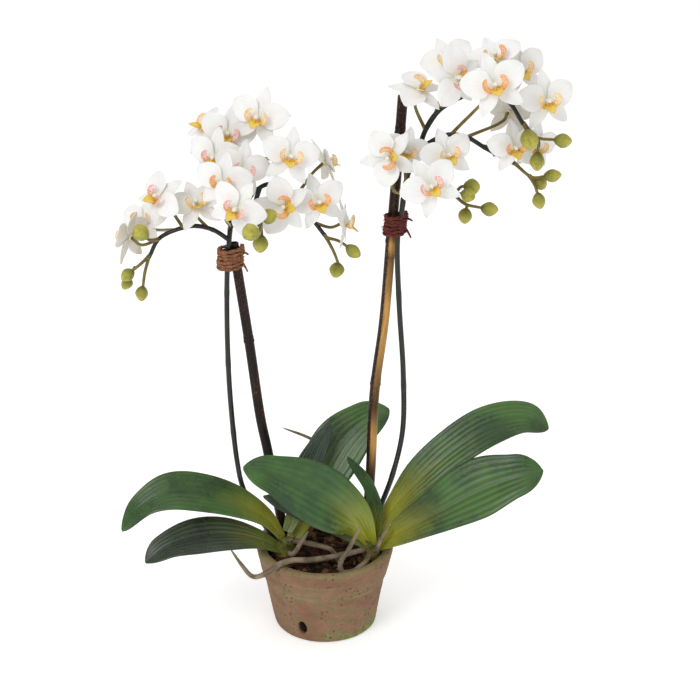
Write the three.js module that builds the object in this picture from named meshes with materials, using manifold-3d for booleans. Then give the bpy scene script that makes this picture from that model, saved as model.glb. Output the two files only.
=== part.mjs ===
// A miniature moth orchid: two flowering plants in one terracotta pot, each spray tied to a bamboo stake.
// Millimetres, +Z up. The front faces -Y, and the origin is the centre of the pot's flat base.
import * as THREE from "three";
import { mergeVertices } from "three/addons/utils/BufferGeometryUtils.js";
import Module from "manifold-3d";

const wasm = await Module();
wasm.setup();

const POT_TOP_RADIUS = 57.5;
const POT_BASE_RADIUS = 43.4;
const POT_HEIGHT = 72;
const POT_WALL = 8;
const POT_FLOOR = 9;
const COLLAR_BOTTOM = 44;
const COLLAR_STEP = 1.6;
const SOIL_TOP = 63;
const DRAIN_HEIGHT = 13.5;
const DRAIN_WIDTH = 8;
const DRAIN_TALL = 13;
const DRAIN_ANGLES = [-114, 6, 126];
const CHIP_COUNT = 16;
const STAKE_RADIUS = 4;
const PEDICEL_RADIUS = 1.15;
const LEAF_THICKNESS = 1.6;
const LEAF_FOLD = 0.25;
const LEAF_STEPS = 9;
const TEPAL_THICKNESS = 0.75;
const KNOB_RADIUS = 2.9;
const COLUMN_LENGTH = 6.6;
const GAP = 0.35;

const vec = (p) => new THREE.Vector3(...p);
const rad = THREE.MathUtils.degToRad;

// A closed three.js geometry as a solid that can be joined and cut.
function solid(geometry) {
  const bare = geometry.clone();
  bare.deleteAttribute("normal");
  bare.deleteAttribute("uv");
  const merged = mergeVertices(bare, 1e-4);
  return new wasm.Manifold(
    new wasm.Mesh({
      numProp: 3,
      vertProperties: new Float32Array(merged.attributes.position.array),
      triVerts: new Uint32Array(merged.index.array),
    }),
  );
}

const join = (solids) => solids.reduce((whole, piece) => whole.add(piece));
const cut = (whole, tools) => tools.reduce((left, tool) => left.subtract(tool), whole);

// The largest body of a solid, so that no loose scrap stays behind after a cut.
function largest(piece) {
  const bodies = piece.decompose();
  bodies.sort((a, b) => b.volume() - a.volume());
  return bodies[0];
}

// A solid as a named mesh with its own plain material.
function meshOf(name, piece, color, roughness) {
  const made = largest(piece).getMesh();
  const geometry = new THREE.BufferGeometry();
  geometry.setAttribute("position", new THREE.BufferAttribute(made.vertProperties, 3));
  geometry.setIndex(new THREE.BufferAttribute(made.triVerts, 1));
  geometry.computeVertexNormals();
  const mesh = new THREE.Mesh(
    geometry,
    new THREE.MeshStandardMaterial({ color, roughness, metalness: 0 }),
  );
  mesh.name = name;
  return mesh;
}

// A repeatable stream of numbers between 0 and 1.
function seeded(seed) {
  let state = seed;
  return () => {
    state = (state * 16807) % 2147483647;
    return state / 2147483647;
  };
}

// A round stem along a smooth curve. The radius runs evenly through the listed radii.
function stem(points, radii, sides, steps, extra = 0) {
  const curve = new THREE.CatmullRomCurve3(points.map(vec), false, "centripetal");
  const ring = Array.from({ length: sides }, (_, i) => {
    const a = (i / sides) * Math.PI * 2;
    return new THREE.Vector2(Math.cos(a), Math.sin(a));
  });
  const geometry = new THREE.ExtrudeGeometry(new THREE.Shape(ring), {
    steps,
    extrudePath: curve,
    bevelEnabled: false,
  });
  const centres = curve.getSpacedPoints(steps);
  const position = geometry.attributes.position;
  const p = new THREE.Vector3();
  for (let i = 0; i < position.count; i++) {
    p.fromBufferAttribute(position, i);
    let near = 0;
    centres.forEach((c, k) => {
      if (c.distanceTo(p) < centres[near].distanceTo(p)) near = k;
    });
    const along = (near / steps) * (radii.length - 1);
    const k = Math.min(Math.floor(along), radii.length - 2);
    const radius = radii[k] + (radii[k + 1] - radii[k]) * (along - k) + extra;
    p.sub(centres[near]).multiplyScalar(radius).add(centres[near]);
    position.setXYZ(i, p.x, p.y, p.z);
  }
  return solid(geometry);
}

// A thin closed sheet between a front and a back copy of the same rows of points.
// Both faces are split into triangles the same way, so the sheet keeps its thickness when it is curved.
function sheet(front, back) {
  const rows = [];
  const positions = [];
  front.forEach((row) => {
    rows.push(row.map((p) => positions.push(p.x, p.y, p.z) / 3 - 1));
  });
  const count = positions.length / 3;
  back.forEach((row) => row.forEach((p) => positions.push(p.x, p.y, p.z)));
  const index = [];
  const face = (a, b, c) => index.push(a, b, c, a + count, c + count, b + count);
  for (let r = 0; r + 1 < rows.length; r++) {
    const low = rows[r];
    const high = rows[r + 1];
    let i = 0;
    let j = 0;
    while (i < low.length - 1 || j < high.length - 1) {
      const nextLow = low.length > 1 ? (i + 1) / (low.length - 1) : 2;
      const nextHigh = high.length > 1 ? (j + 1) / (high.length - 1) : 2;
      if (j >= high.length - 1 || (i < low.length - 1 && nextLow <= nextHigh)) {
        face(low[i], low[i + 1], high[j]);
        i++;
      } else {
        face(low[i], high[j + 1], high[j]);
        j++;
      }
    }
  }
  const last = rows.length - 1;
  const rim = [...rows[0]];
  for (let r = 1; r <= last; r++) rim.push(rows[r][rows[r].length - 1]);
  for (let i = rows[last].length - 2; i >= 0; i--) rim.push(rows[last][i]);
  for (let r = last - 1; r > 0; r--) rim.push(rows[r][0]);
  rim.forEach((a, i) => {
    const b = rim[(i + 1) % rim.length];
    index.push(a, a + count, b + count, a, b + count, b);
  });
  const geometry = new THREE.BufferGeometry();
  geometry.setAttribute("position", new THREE.Float32BufferAttribute(positions, 3));
  geometry.setIndex(index);
  return geometry;
}

// A flower blade that grows along +Y and faces +Z. Each row is [length along it, half width, height].
function tepal(rows, thickness = TEPAL_THICKNESS) {
  const front = [];
  const back = [];
  rows.forEach(([along, half, lift], r) => {
    const before = rows[Math.max(r - 1, 0)];
    const after = rows[Math.min(r + 1, rows.length - 1)];
    const slope = new THREE.Vector2(after[0] - before[0], after[2] - before[2]).normalize();
    const points = (half === 0 ? [0] : [-1, 1]).map((s) => new THREE.Vector3(s * half, along, lift));
    front.push(points);
    back.push(
      points.map((p) => new THREE.Vector3(p.x, p.y + slope.y * thickness, p.z - slope.x * thickness)),
    );
  });
  return sheet(front, back);
}

const turn = (x, y, z) => new THREE.Matrix4().makeRotationFromEuler(new THREE.Euler(rad(x), rad(y), rad(z)));
const shift = (x, y, z) => new THREE.Matrix4().makeTranslation(x, y, z);

// Three sepals and two broad petals as one star-shaped sheet round a five-sided eye, which rises to the
// column in front and to the knob behind. A blade is [heading, rows], a row [length, half width, height].
function star(blades, eye) {
  const positions = [];
  const index = [];
  const point = (x, y, z) => positions.push(x, y, z) / 3 - 1;
  const corners = blades.map(([heading], i) => {
    const next = blades[(i + 1) % blades.length][0] + (i + 1 === blades.length ? 360 : 0);
    const a = rad((heading + next) / 2);
    return point(Math.cos(a) * eye, Math.sin(a) * eye, 0);
  });
  const rim = [];
  const faces = [];
  const apex = point(0, 0, COLUMN_LENGTH);
  corners.forEach((corner, i) => faces.push([apex, corner, corners[(i + 1) % corners.length]]));
  blades.forEach(([heading, rows], i) => {
    const along = new THREE.Vector2(Math.cos(rad(heading)), Math.sin(rad(heading)));
    const at = (far, side, lift) => point(along.x * far + along.y * side, along.y * far - along.x * side, lift);
    let right = corners[(i + blades.length - 1) % blades.length];
    let left = corners[i];
    const rights = [right];
    const lefts = [left];
    rows.forEach(([far, half, lift]) => {
      if (half === 0) {
        const tip = at(far, 0, lift);
        faces.push([right, tip, left]);
        rights.push(tip);
      } else {
        const r = at(far, half, lift);
        const l = at(far, -half, lift);
        faces.push([right, r, l], [right, l, left]);
        rights.push(r);
        lefts.push(l);
        right = r;
        left = l;
      }
    });
    rim.push(...rights, ...lefts.reverse().slice(0, -1));
  });
  const count = positions.length / 3;
  for (let i = 0; i < count; i++) {
    const z = i === apex ? -KNOB_RADIUS : positions[i * 3 + 2] - TEPAL_THICKNESS;
    positions.push(positions[i * 3], positions[i * 3 + 1], z);
  }
  faces.forEach(([a, b, c]) => index.push(a, b, c, a + count, c + count, b + count));
  rim.forEach((a, i) => {
    const b = rim[(i + 1) % rim.length];
    index.push(a, a + count, b + count, a, b + count, b);
  });
  const geometry = new THREE.BufferGeometry();
  geometry.setAttribute("position", new THREE.Float32BufferAttribute(positions, 3));
  geometry.setIndex(index);
  return geometry;
}

// One bloom: three sepals, two broad petals, a lip with two upright side lobes and a long middle lobe,
// and a column, all grown on one small knob. It faces +Z with the top sepal toward +Y.
function bloomSolid(size, reflex) {
  const sepal = [
    [8, 5.6, -0.5 - reflex * 0.3],
    [17, 5.8, -1.4 - reflex],
    [24, 0, -2.4 - reflex * 2],
  ];
  const petal = [
    [6.5, 5.6, 0.9],
    [13, 10, 1.2 - reflex * 0.4],
    [20.5, 8.2, 0.2 - reflex],
    [24.5, 0, -1 - reflex * 2],
  ];
  const sideLobe = [
    [0.1, 1.25, 0],
    [5.4, 2.7, 0.6],
    [9, 0, 3],
  ];
  const middleLobe = [
    [-0.2, 1.3, 0],
    [8.6, 3.6, -0.2],
    [13, 0, 1.6],
  ];
  const blades = [
    [20, petal],
    [90, sepal],
    [160, petal],
    [230, sepal],
    [310, sepal],
  ];
  const made = join([
    solid(star(blades, 3.4)),
    solid(tepal(sideLobe).applyMatrix4(turn(62, 63, 0)).applyMatrix4(shift(2.1, -2.1, 0.6))),
    solid(tepal(sideLobe).applyMatrix4(turn(62, -63, 0)).applyMatrix4(shift(-2.1, -2.1, 0.6))),
    solid(tepal(middleLobe, 1).applyMatrix4(turn(121, 0, 0)).applyMatrix4(shift(0, -0.6, 0.8))),
  ]);
  return made.scale([size, size, size]);
}

// The frame of a bloom from its place, the way it faces and the way its top sepal points.
function bloomFrame(at, face, top) {
  const z = vec(face).normalize();
  const y = vec(top).addScaledVector(z, -vec(top).dot(z)).normalize();
  const x = new THREE.Vector3().crossVectors(y, z);
  return new THREE.Matrix4().makeBasis(x, y, z).setPosition(...at);
}

// Each bloom: name, centre, facing, top sepal, size, bend of the tips, where its stalk leaves the stem,
// and a point that the stalk passes on its way.
const LEFT_BLOOMS = [
  ["left_01", [-48, -4, 441], [-0.25, -0.9, 0.3], [0.2, 0, 1], 1, 0.2, [-58, 14, 417]],
  ["left_02", [-90, 24, 424], [-0.5, -0.3, 0.8], [0.8, 0, 0.5], 1, 0.6, [-62, 15, 404]],
  ["left_03", [-72, 3, 426], [0, -0.93, 0.3], [0.22, 0, 1], 0.96, 0.3, [-60, 16, 412]],
  ["left_04", [-81, -12, 413], [-0.35, -0.92, 0.1], [0.1, 0, 1], 0.95, 0.2, [-67, 12, 386]],
  ["left_05", [-60, -29, 408], [0.3, -0.9, 0.2], [0.3, 0, 1], 0.96, 0.4, [-65, 13, 392]],
  ["left_06", [-73, -48, 405], [-0.2, -0.95, 0.2], [0.1, 0, 1], 0.95, 0.3, [-70, 8, 368], [-73, -33, 382]],
  ["left_07", [-62, -69, 392], [-0.3, -0.9, 0.1], [0.5, 0, 0.85], 0.96, 0.2, [-72, 1, 352], [-71, -44, 376]],
  ["left_08", [-125, -12, 380], [-0.5, -0.65, 0.5], [0.75, 0, 0.6], 0.95, 0.4, [-108, -5, 353]],
  ["left_09", [-97, -8, 373], [0.1, -0.65, 0.7], [-0.25, 0.3, 0.9], 0.95, 0.3, [-88, -3, 351]],
  ["left_10", [-149, -12, 348], [-0.85, 0.45, 0.15], [0.1, 0, 1], 0.95, 0.8, [-127, -6, 344]],
  ["left_11", [-141, 18, 350], [-0.3, -0.5, 0.4], [0, 0.3, 1], 0.9, 0.3, [-114, -5, 351]],
  ["left_12", [-24, -25, 417], [0.2, -0.9, 0.3], [0.25, 0, 1], 0.98, 0.2, [-62, 14, 403], [-44, 4, 406]],
  ["left_13", [2, 10, 401], [0.75, 0.35, 0.3], [-0.2, 0, 1], 0.95, 0.6, [-20, -8, 380]],
  ["left_14", [-30, -34, 381], [0.2, -0.93, 0.2], [-1, 0, 0.15], 0.98, 0.2, [-32, -9, 388]],
  ["left_15", [-3, -18, 379], [0.2, -0.93, 0.2], [-0.25, 0, 1], 0.95, 0.2, [-14, -8, 372]],
  ["left_16", [17, -5, 357], [0.9, -0.1, 0.1], [0, 0.2, 1], 0.92, 0.5, [-6, -8, 358]],
];
const RIGHT_BLOOMS = [
  ["right_01", [81, -49, 402], [0.1, -0.93, 0.3], [-0.5, 0, 0.85], 1, 0.3, [73, -11, 391]],
  ["right_02", [94, -24, 418], [0.3, -0.9, 0.3], [-0.25, 0, 1], 0.92, 0.3, [80, -4, 421]],
  ["right_03", [50, -29, 418], [-0.15, -0.93, 0.2], [-0.95, 0, -0.2], 0.96, 0.5, [62, -1, 380], [54, -17, 388]],
  ["right_04", [63, -15, 418], [0.1, -0.97, 0.2], [0.25, 0, 1], 0.82, 0.3, [64, -1, 389]],
  ["right_05", [72, -8, 464], [0.2, -0.35, 0.9], [-0.9, 0, 0.2], 0.96, 0.3, [78, -4, 431]],
  ["right_06", [99, -30, 480], [0.45, -0.85, 0.2], [-0.9, 0, 0.15], 1, 0.2, [90, -9, 450]],
  ["right_07", [126, -48, 479], [0, -0.93, 0.35], [-0.3, 0, 1], 1.05, 0.1, [98, -8, 430]],
  ["right_08", [129, -7, 488], [-0.1, -0.6, 0.75], [-0.3, 0, 1], 0.95, 0.2, [112, -16, 464]],
  ["right_09", [149, 7, 475], [0.35, -0.85, 0.25], [-0.2, 0, 1], 0.95, 0.3, [124, -18, 466]],
  ["right_10", [167, -20, 459], [0.3, -0.9, 0.2], [-0.1, 0, 1], 1, 0.2, [140, -20, 457]],
  ["right_11", [145, -14, 421], [0.2, -0.95, 0.1], [-0.12, 0, 1], 0.9, 0.2, [120, -8, 420]],
  ["right_12", [142, 14, 440], [0.4, 0.8, 0.1], [0, 0, 1], 0.92, 0.3, [109, -8, 427]],
  ["right_13", [163, 6, 415], [0.35, -0.7, 0], [0.2, 0, 1], 0.85, 0.3, [130, -8, 413]],
  ["right_14", [95, 8, 482], [-0.1, -0.7, 0.6], [-0.4, 0, 1], 0.9, 0.2, [84, -6, 441]],
];

// The stalk of a bloom, from the stem to the back of its knob.
function stalk([, at, face, , size, , root, via]) {
  const z = vec(face).normalize();
  const back = KNOB_RADIUS * size;
  const end = vec(at).addScaledVector(z, -back - 0.3);
  const bend = vec(at).addScaledVector(z, -back - 8).add(new THREE.Vector3(0, 0, -3));
  const route = via ? [root, via, bend.toArray(), end.toArray()] : [root, bend.toArray(), end.toArray()];
  return stem(route, [PEDICEL_RADIUS + 0.3, PEDICEL_RADIUS], 3, 4);
}

// A pointed bud with its base at one end and its tip at the other.
function bud(base, tip, width) {
  const long = vec(tip).sub(vec(base));
  const profile = [
    [0, 0],
    [0.38, 0.12],
    [0.52, 0.5],
    [0, 1],
  ];
  const geometry = new THREE.LatheGeometry(
    profile.map(([r, h]) => new THREE.Vector2(r * width, h * long.length())),
    5,
  );
  const upright = new THREE.Quaternion().setFromUnitVectors(
    new THREE.Vector3(0, 1, 0),
    long.clone().normalize(),
  );
  geometry.applyQuaternion(upright).translate(...base);
  return solid(geometry);
}

const LEFT_STEM = [
  [-35, 3, 36],
  [-38, 3, 64],
  [-46, 4, 78],
  [-58, 8, 96],
  [-68, 10, 118],
  [-72, 10, 141],
  [-76, 8, 198],
  [-77, 6, 253],
  [-75, 0, 319],
  [-73, 0, 340],
  [-70, 7, 366],
  [-65, 13, 392],
  [-60, 16, 411],
  [-57, 14, 418],
];
const LEFT_BRANCHES = [
  [[-73, 0, 341], [-85, -2, 350], [-99, -4, 354], [-114, -5, 351], [-127, -6, 344], [-135, -6, 329]],
  [[-72, 1, 350], [-64, -4, 365], [-50, -8, 385], [-40, -9, 390], [-25, -8, 384], [-8, -8, 361], [2, -8, 347]],
  [[-48, -8, 386], [-51, -20, 378], [-50, -36, 373], [-47, -46, 370]],
];
const LEFT_TWIGS = [
  [[-134, -6, 331], [-144, -8, 322], [-150, -9, 318]],
  [[-146, -8, 321], [-153, -4, 312]],
  [[-135, -6, 330], [-139, -6, 316], [-141, -6, 304]],
  [[-127, -6, 344], [-133, -16, 347], [-136, -20, 351]],
  [[1, -8, 349], [8, -8, 335], [12, -5, 323]],
  [[2, -8, 346], [12, -10, 344], [19, -12, 340]],
  [[-46, -43, 371], [-46, -66, 372], [-47, -86, 378]],
  [[-47, -40, 372], [-43, -44, 375]],
  [[-46, -44, 371], [-45, -48, 362]],
];
const LEFT_BUDS = [
  [[-147, -9, 319], [-157, -11, 312], 10],
  [[-151, -4, 311], [-157, -1, 300], 9],
  [[-141, -6, 305], [-143, -7, 292], 10],
  [[-135, -19, 350], [-142, -29, 362], 13],
  [[12, -5, 324], [9, -4, 311], 12],
  [[18, -12, 341], [29, -13, 332], 10],
  [[-47, -85, 377], [-55, -97, 386], 13],
  [[-44, -43, 373], [-35, -49, 382], 12],
  [[-45, -47, 363], [-47, -49, 349], 12],
];
const RIGHT_STEM = [
  [36, 3, 36],
  [37, 2, 64],
  [39, 0, 86],
  [46, 1, 104],
  [56, 5, 132],
  [64, 8, 171],
  [64, 8, 222],
  [60, 5, 284],
  [58, -2, 343],
  [61, -2, 366],
  [65, 0, 393],
  [73, -2, 414],
  [78, -4, 431],
  [88, -8, 448],
  [104, -14, 460],
  [121, -18, 466],
  [138, -20, 459],
  [150, -24, 442],
];
const RIGHT_BRANCHES = [
  [[74, -2, 415], [85, -5, 424], [96, -8, 429], [109, -8, 427], [124, -8, 418], [146, -8, 406]],
  [[61, -1, 378], [70, -10, 391], [86, -18, 394], [101, -22, 385]],
];
const RIGHT_TWIGS = [
  [[149, -23, 444], [153, -28, 437]],
  [[150, -23, 443], [160, -24, 432], [174, -24, 430]],
  [[157, -24, 434], [162, -22, 428], [162, -21, 419]],
  [[145, -8, 407], [160, -8, 395], [169, -9, 396]],
  [[158, -8, 396], [163, -5, 392]],
  [[157, -8, 397], [162, -10, 389], [164, -11, 383]],
  [[100, -22, 386], [105, -19, 391], [109, -17, 391]],
  [[101, -22, 386], [106, -27, 389]],
  [[100, -22, 386], [108, -23, 379], [121, -21, 375]],
  [[110, -23, 378], [109, -24, 374]],
];
const RIGHT_BUDS = [
  [[152, -27, 439], [156, -38, 427], 14],
  [[173, -24, 430], [187, -24, 429], 11],
  [[162, -21, 420], [162, -20, 404], 11],
  [[168, -9, 396], [182, -10, 398], 10],
  [[162, -5, 393], [171, -1, 384], 10],
  [[164, -11, 384], [167, -13, 371], 10],
  [[107, -17, 391], [120, -14, 389], 13],
  [[105, -27, 390], [115, -33, 387], 11],
  [[120, -21, 375], [134, -20, 373], 11],
  [[109, -24, 376], [108, -24, 363], 11],
];

// A whole spray: the stem, its side branches, the bud twigs, the buds and the flower stalks.
function spray(stemPoints, branches, twigs, buds, blooms, extra) {
  const pieces = [stem(stemPoints, [2.6, 2.2, 2.2, 2.1, 2, 1.6], 5, 22, extra)];
  if (extra > 0) return pieces[0];
  branches.forEach((points) => pieces.push(stem(points, [1.9, 1.8, 1.6], 4, points.length * 2)));
  twigs.forEach((points) => pieces.push(stem(points, [1.4, 1.2], 3, points.length)));
  buds.forEach(([base, tip, width]) => pieces.push(bud(base, tip, width)));
  blooms.forEach((bloom) => pieces.push(stalk(bloom)));
  return join(pieces);
}

const LEFT_STAKE = [
  [-30, 20, 34],
  [-34, 18, 64],
  [-47, 14, 150],
  [-52, 13, 179],
  [-60, 9, 252],
  [-68, 6.5, 317],
  [-70, 6, 336],
];
const RIGHT_STAKE = [
  [31, 19, 34],
  [34, 18, 64],
  [38, 15, 129],
  [41, 11, 206],
  [48, 8, 268],
  [53, 5, 340],
  [59, 6, 424],
  [61, 6, 455],
];

// A bamboo stake, a little thicker at its foot.
function stake(points, extra = 0) {
  return stem(points, [STAKE_RADIUS + 0.2, STAKE_RADIUS], 8, 9, extra);
}

// Turns of twine wound tightly round a stem and its stake: an oval sleeve with a groove between turns.
function tie(at, lean, heading, long, wide, turns, pitch, around) {
  const high = (turns * pitch) / 2;
  const profile = [new THREE.Vector2(0, -high)];
  for (let i = 0; i < turns; i++) {
    profile.push(new THREE.Vector2(0.86, i * pitch - high));
    profile.push(new THREE.Vector2(1, (i + 0.5) * pitch - high));
  }
  profile.push(new THREE.Vector2(0.86, high), new THREE.Vector2(0, high));
  const sleeve = new THREE.LatheGeometry(profile, 8)
    .rotateX(Math.PI / 2)
    .scale(long, wide, 1)
    .applyMatrix4(turn(0, 0, heading))
    .applyMatrix4(turn(0, lean, 0))
    .translate(...at);
  return cut(solid(sleeve), around);
}

// A leaf along its midrib. Each row is a point, a half width, and how the upper face looks there.
// The blade folds up on both sides of the midrib by LEAF_FOLD of its half width.
function leaf(rows) {
  const curve = new THREE.CatmullRomCurve3(rows.map(([p]) => vec(p)), false, "centripetal");
  const front = [];
  const back = [];
  for (let i = 0; i <= LEAF_STEPS; i++) {
    const t = i / LEAF_STEPS;
    const at = t * (rows.length - 1);
    const k = Math.min(Math.floor(at), rows.length - 2);
    const blend = at - k;
    const centre = curve.getPoint(t);
    const half = rows[k][1] + (rows[k + 1][1] - rows[k][1]) * blend;
    const look = vec(rows[k][2]).lerp(vec(rows[k + 1][2]), blend).normalize();
    const side = new THREE.Vector3().crossVectors(curve.getTangent(t), look).normalize();
    const up = new THREE.Vector3().crossVectors(side, curve.getTangent(t)).normalize();
    const across = i === LEAF_STEPS ? [0] : [-1, 0, 1];
    const place = (s, drop) =>
      centre
        .clone()
        .addScaledVector(side, s * half)
        .addScaledVector(up, Math.abs(s) * half * LEAF_FOLD - drop);
    front.push(across.map((s) => place(s, -LEAF_THICKNESS / 2)));
    back.push(across.map((s) => place(s, LEAF_THICKNESS / 2)));
  }
  return solid(sheet(front, back));
}

const LEAVES = {
  leaf_left_upper: [
    [[-35, -10, 80], 5, [0.5, -0.2, 0.8]],
    [[-48, -9, 98], 9, [0.5, -0.4, 0.8]],
    [[-70, -10, 113], 13, [0.3, -0.5, 0.8]],
    [[-97, -16, 125], 15, [0.1, -0.6, 0.8]],
    [[-125, -22, 130], 15, [-0.1, -0.6, 0.8]],
    [[-146, -28, 122], 11, [-0.4, -0.6, 0.7]],
    [[-164, -34, 101], 0, [-0.7, -0.5, 0.5]],
  ],
  leaf_left_lower: [
    [[-36, -14, 72], 5, [0.3, -0.3, 0.8]],
    [[-54, -19, 84], 9, [0.2, -0.4, 0.9]],
    [[-78, -27, 93], 14, [0.1, -0.5, 0.9]],
    [[-104, -36, 96], 15, [0, -0.5, 0.9]],
    [[-128, -45, 92], 11, [-0.2, -0.5, 0.8]],
    [[-144, -52, 82], 0, [-0.4, -0.5, 0.8]],
  ],
  leaf_left_small: [
    [[-31, -9, 86], 4, [0, -0.8, 0.5]],
    [[-21, 5, 108], 8, [0, -0.9, 0.4]],
    [[-14, 16, 131], 10, [0, -0.9, 0.4]],
    [[-5, 24, 150], 7, [0, -0.9, 0.4]],
    [[5, 30, 166], 0, [0, -0.9, 0.4]],
  ],
  leaf_left_back: [
    [[-26, -6, 78], 5, [0, -0.6, 0.8]],
    [[-14, 10, 98], 11, [0, -0.7, 0.7]],
    [[0, 26, 124], 19, [0, -0.8, 0.6]],
    [[14, 38, 145], 20, [0, -0.8, 0.6]],
    [[33, 47, 160], 15, [0.1, -0.7, 0.7]],
    [[54, 53, 168], 0, [0.2, -0.6, 0.8]],
  ],
  leaf_right_front: [
    [[40, -20, 80], 5, [-0.6, -0.4, 0.7]],
    [[26, -23, 104], 13, [-0.5, -0.5, 0.7]],
    [[5, -30, 125], 19, [-0.3, -0.6, 0.7]],
    [[-18, -35, 142], 18, [-0.2, -0.7, 0.7]],
    [[-42, -38, 155], 12, [-0.2, -0.7, 0.7]],
    [[-64, -38, 161], 0, [-0.1, -0.7, 0.7]],
  ],
  leaf_right_under: [
    [[36, -14, 76], 5, [-0.3, -0.3, 0.9]],
    [[18, -10, 88], 8, [-0.3, -0.5, 0.8]],
    [[-4, -10, 100], 9, [-0.3, -0.5, 0.8]],
    [[-26, -9, 109], 7, [-0.3, -0.5, 0.8]],
    [[-50, -6, 118], 0, [-0.3, -0.5, 0.8]],
  ],
  leaf_right_new: [
    [[42, -16, 84], 4, [-0.6, -0.6, 0.5]],
    [[43, -12, 108], 6, [-0.6, -0.7, 0.4]],
    [[36, -6, 130], 5, [-0.6, -0.7, 0.3]],
    [[19, 2, 150], 0, [-0.6, -0.7, 0.4]],
  ],
  leaf_right_upper: [
    [[42, -10, 84], 5, [-0.5, -0.5, 0.7]],
    [[58, -9, 110], 9, [-0.5, -0.6, 0.6]],
    [[78, -7, 135], 14, [-0.4, -0.7, 0.6]],
    [[105, 1, 158], 15, [-0.2, -0.7, 0.7]],
    [[135, 9, 175], 15, [0, -0.7, 0.7]],
    [[164, 14, 180], 12, [0.2, -0.7, 0.7]],
    [[184, 18, 168], 0, [0.5, -0.6, 0.6]],
  ],
  leaf_right_lower: [
    [[43, -17, 76], 4, [-0.4, -0.5, 0.8]],
    [[62, -27, 96], 11, [-0.4, -0.6, 0.7]],
    [[92, -32, 118], 17, [-0.3, -0.7, 0.7]],
    [[126, -34, 140], 22, [-0.2, -0.7, 0.7]],
    [[154, -37, 153], 16, [0, -0.7, 0.7]],
    [[175, -36, 158], 0, [0.1, -0.7, 0.7]],
  ],
};

// The short thick base of a plant, where its leaves part, fused with its aerial roots.
const LEFT_ROOTS = [
  [[[-30, -12, 80], [-18, -19, 82], [-5, -21, 80], [6, -22, 76], [14, -24, 60]], [2.3, 2.1, 1.8]],
  [[[-31, -15, 70], [-25, -27, 76], [-19, -26, 86], [-13, -21, 94]], [2.3, 2.1, 1.3]],
  [[[-32, -8, 74], [-20, 24, 92], [0, 44, 112], [4, 51, 130], [-12, 51, 142], [-36, 50, 153]], [2.3, 2, 1.1]],
];
const RIGHT_ROOTS = [
  [
    [[36, -15, 74], [22, -26, 76], [3, -32, 75], [-13, -36, 75], [-26, -38, 76], [-37, -44, 75.5],
      [-48, -46, 68], [-59, -40, 62], [-68, -36, 71], [-77, -34, 85]],
    [2.4, 2.4, 2.3, 1.3],
  ],
  [
    [[38, -16, 70], [33, -32, 70], [24, -38, 66], [15, -40, 66], [13, -39, 73], [20, -37, 86], [31, -32, 107]],
    [2.3, 2.2, 1.3],
  ],
  [[[40, -16, 72], [43, -26, 80], [46, -29, 90], [54, -28, 103]], [2.1, 2, 1.2]],
];

function crown(at, roots, extra = 0) {
  const heart = new THREE.SphereGeometry(1, 8, 6)
    .rotateX(Math.PI / 2)
    .scale(8.5 + extra, 7.5 + extra, 18 + extra)
    .translate(...at);
  const strands = roots.map(([points, radii]) => stem(points, radii, 5, points.length * 2, extra));
  return join([solid(heart), ...strands]);
}

// The pot: a turned shell with a collar, a rolled rim, and three oval drain holes low in its side.
const potInner = [
  [0, POT_FLOOR],
  [POT_BASE_RADIUS - POT_WALL, POT_FLOOR],
  [POT_TOP_RADIUS - POT_WALL, POT_HEIGHT - 3],
];
function potSolid() {
  const profile = [
    [0, 0],
    [POT_BASE_RADIUS - 1.5, 0],
    [POT_BASE_RADIUS, 1.6],
    [51, COLLAR_BOTTOM],
    [51 + COLLAR_STEP, COLLAR_BOTTOM + 2.5],
    [POT_TOP_RADIUS - 0.6, POT_HEIGHT - 5],
    [POT_TOP_RADIUS, POT_HEIGHT - 2.4],
    [POT_TOP_RADIUS - 2.4, POT_HEIGHT],
    [POT_TOP_RADIUS - POT_WALL + 2.5, POT_HEIGHT],
    ...potInner.slice().reverse(),
  ];
  const geometry = new THREE.LatheGeometry(
    profile.map(([r, z]) => new THREE.Vector2(r, z)),
    28,
  ).rotateX(Math.PI / 2);
  return cut(solid(geometry), drains(0));
}

// The oval rods that bore the drain holes, or a little thinner ones for the mix that fills them.
function drains(shrink) {
  return DRAIN_ANGLES.map((angle) => {
    const from = shrink > 0 ? 30 : 26;
    const to = shrink > 0 ? 46.2 : 60;
    const geometry = new THREE.CylinderGeometry(
      DRAIN_WIDTH / 2 - shrink,
      DRAIN_WIDTH / 2 - shrink,
      to - from,
      12,
    )
      .rotateZ(-Math.PI / 2)
      .translate((from + to) / 2, 0, 0)
      .scale(1, 1, (DRAIN_TALL / 2 - shrink) / (DRAIN_WIDTH / 2 - shrink))
      .rotateZ(rad(angle))
      .translate(0, 0, DRAIN_HEIGHT);
    return solid(geometry);
  });
}

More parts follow.
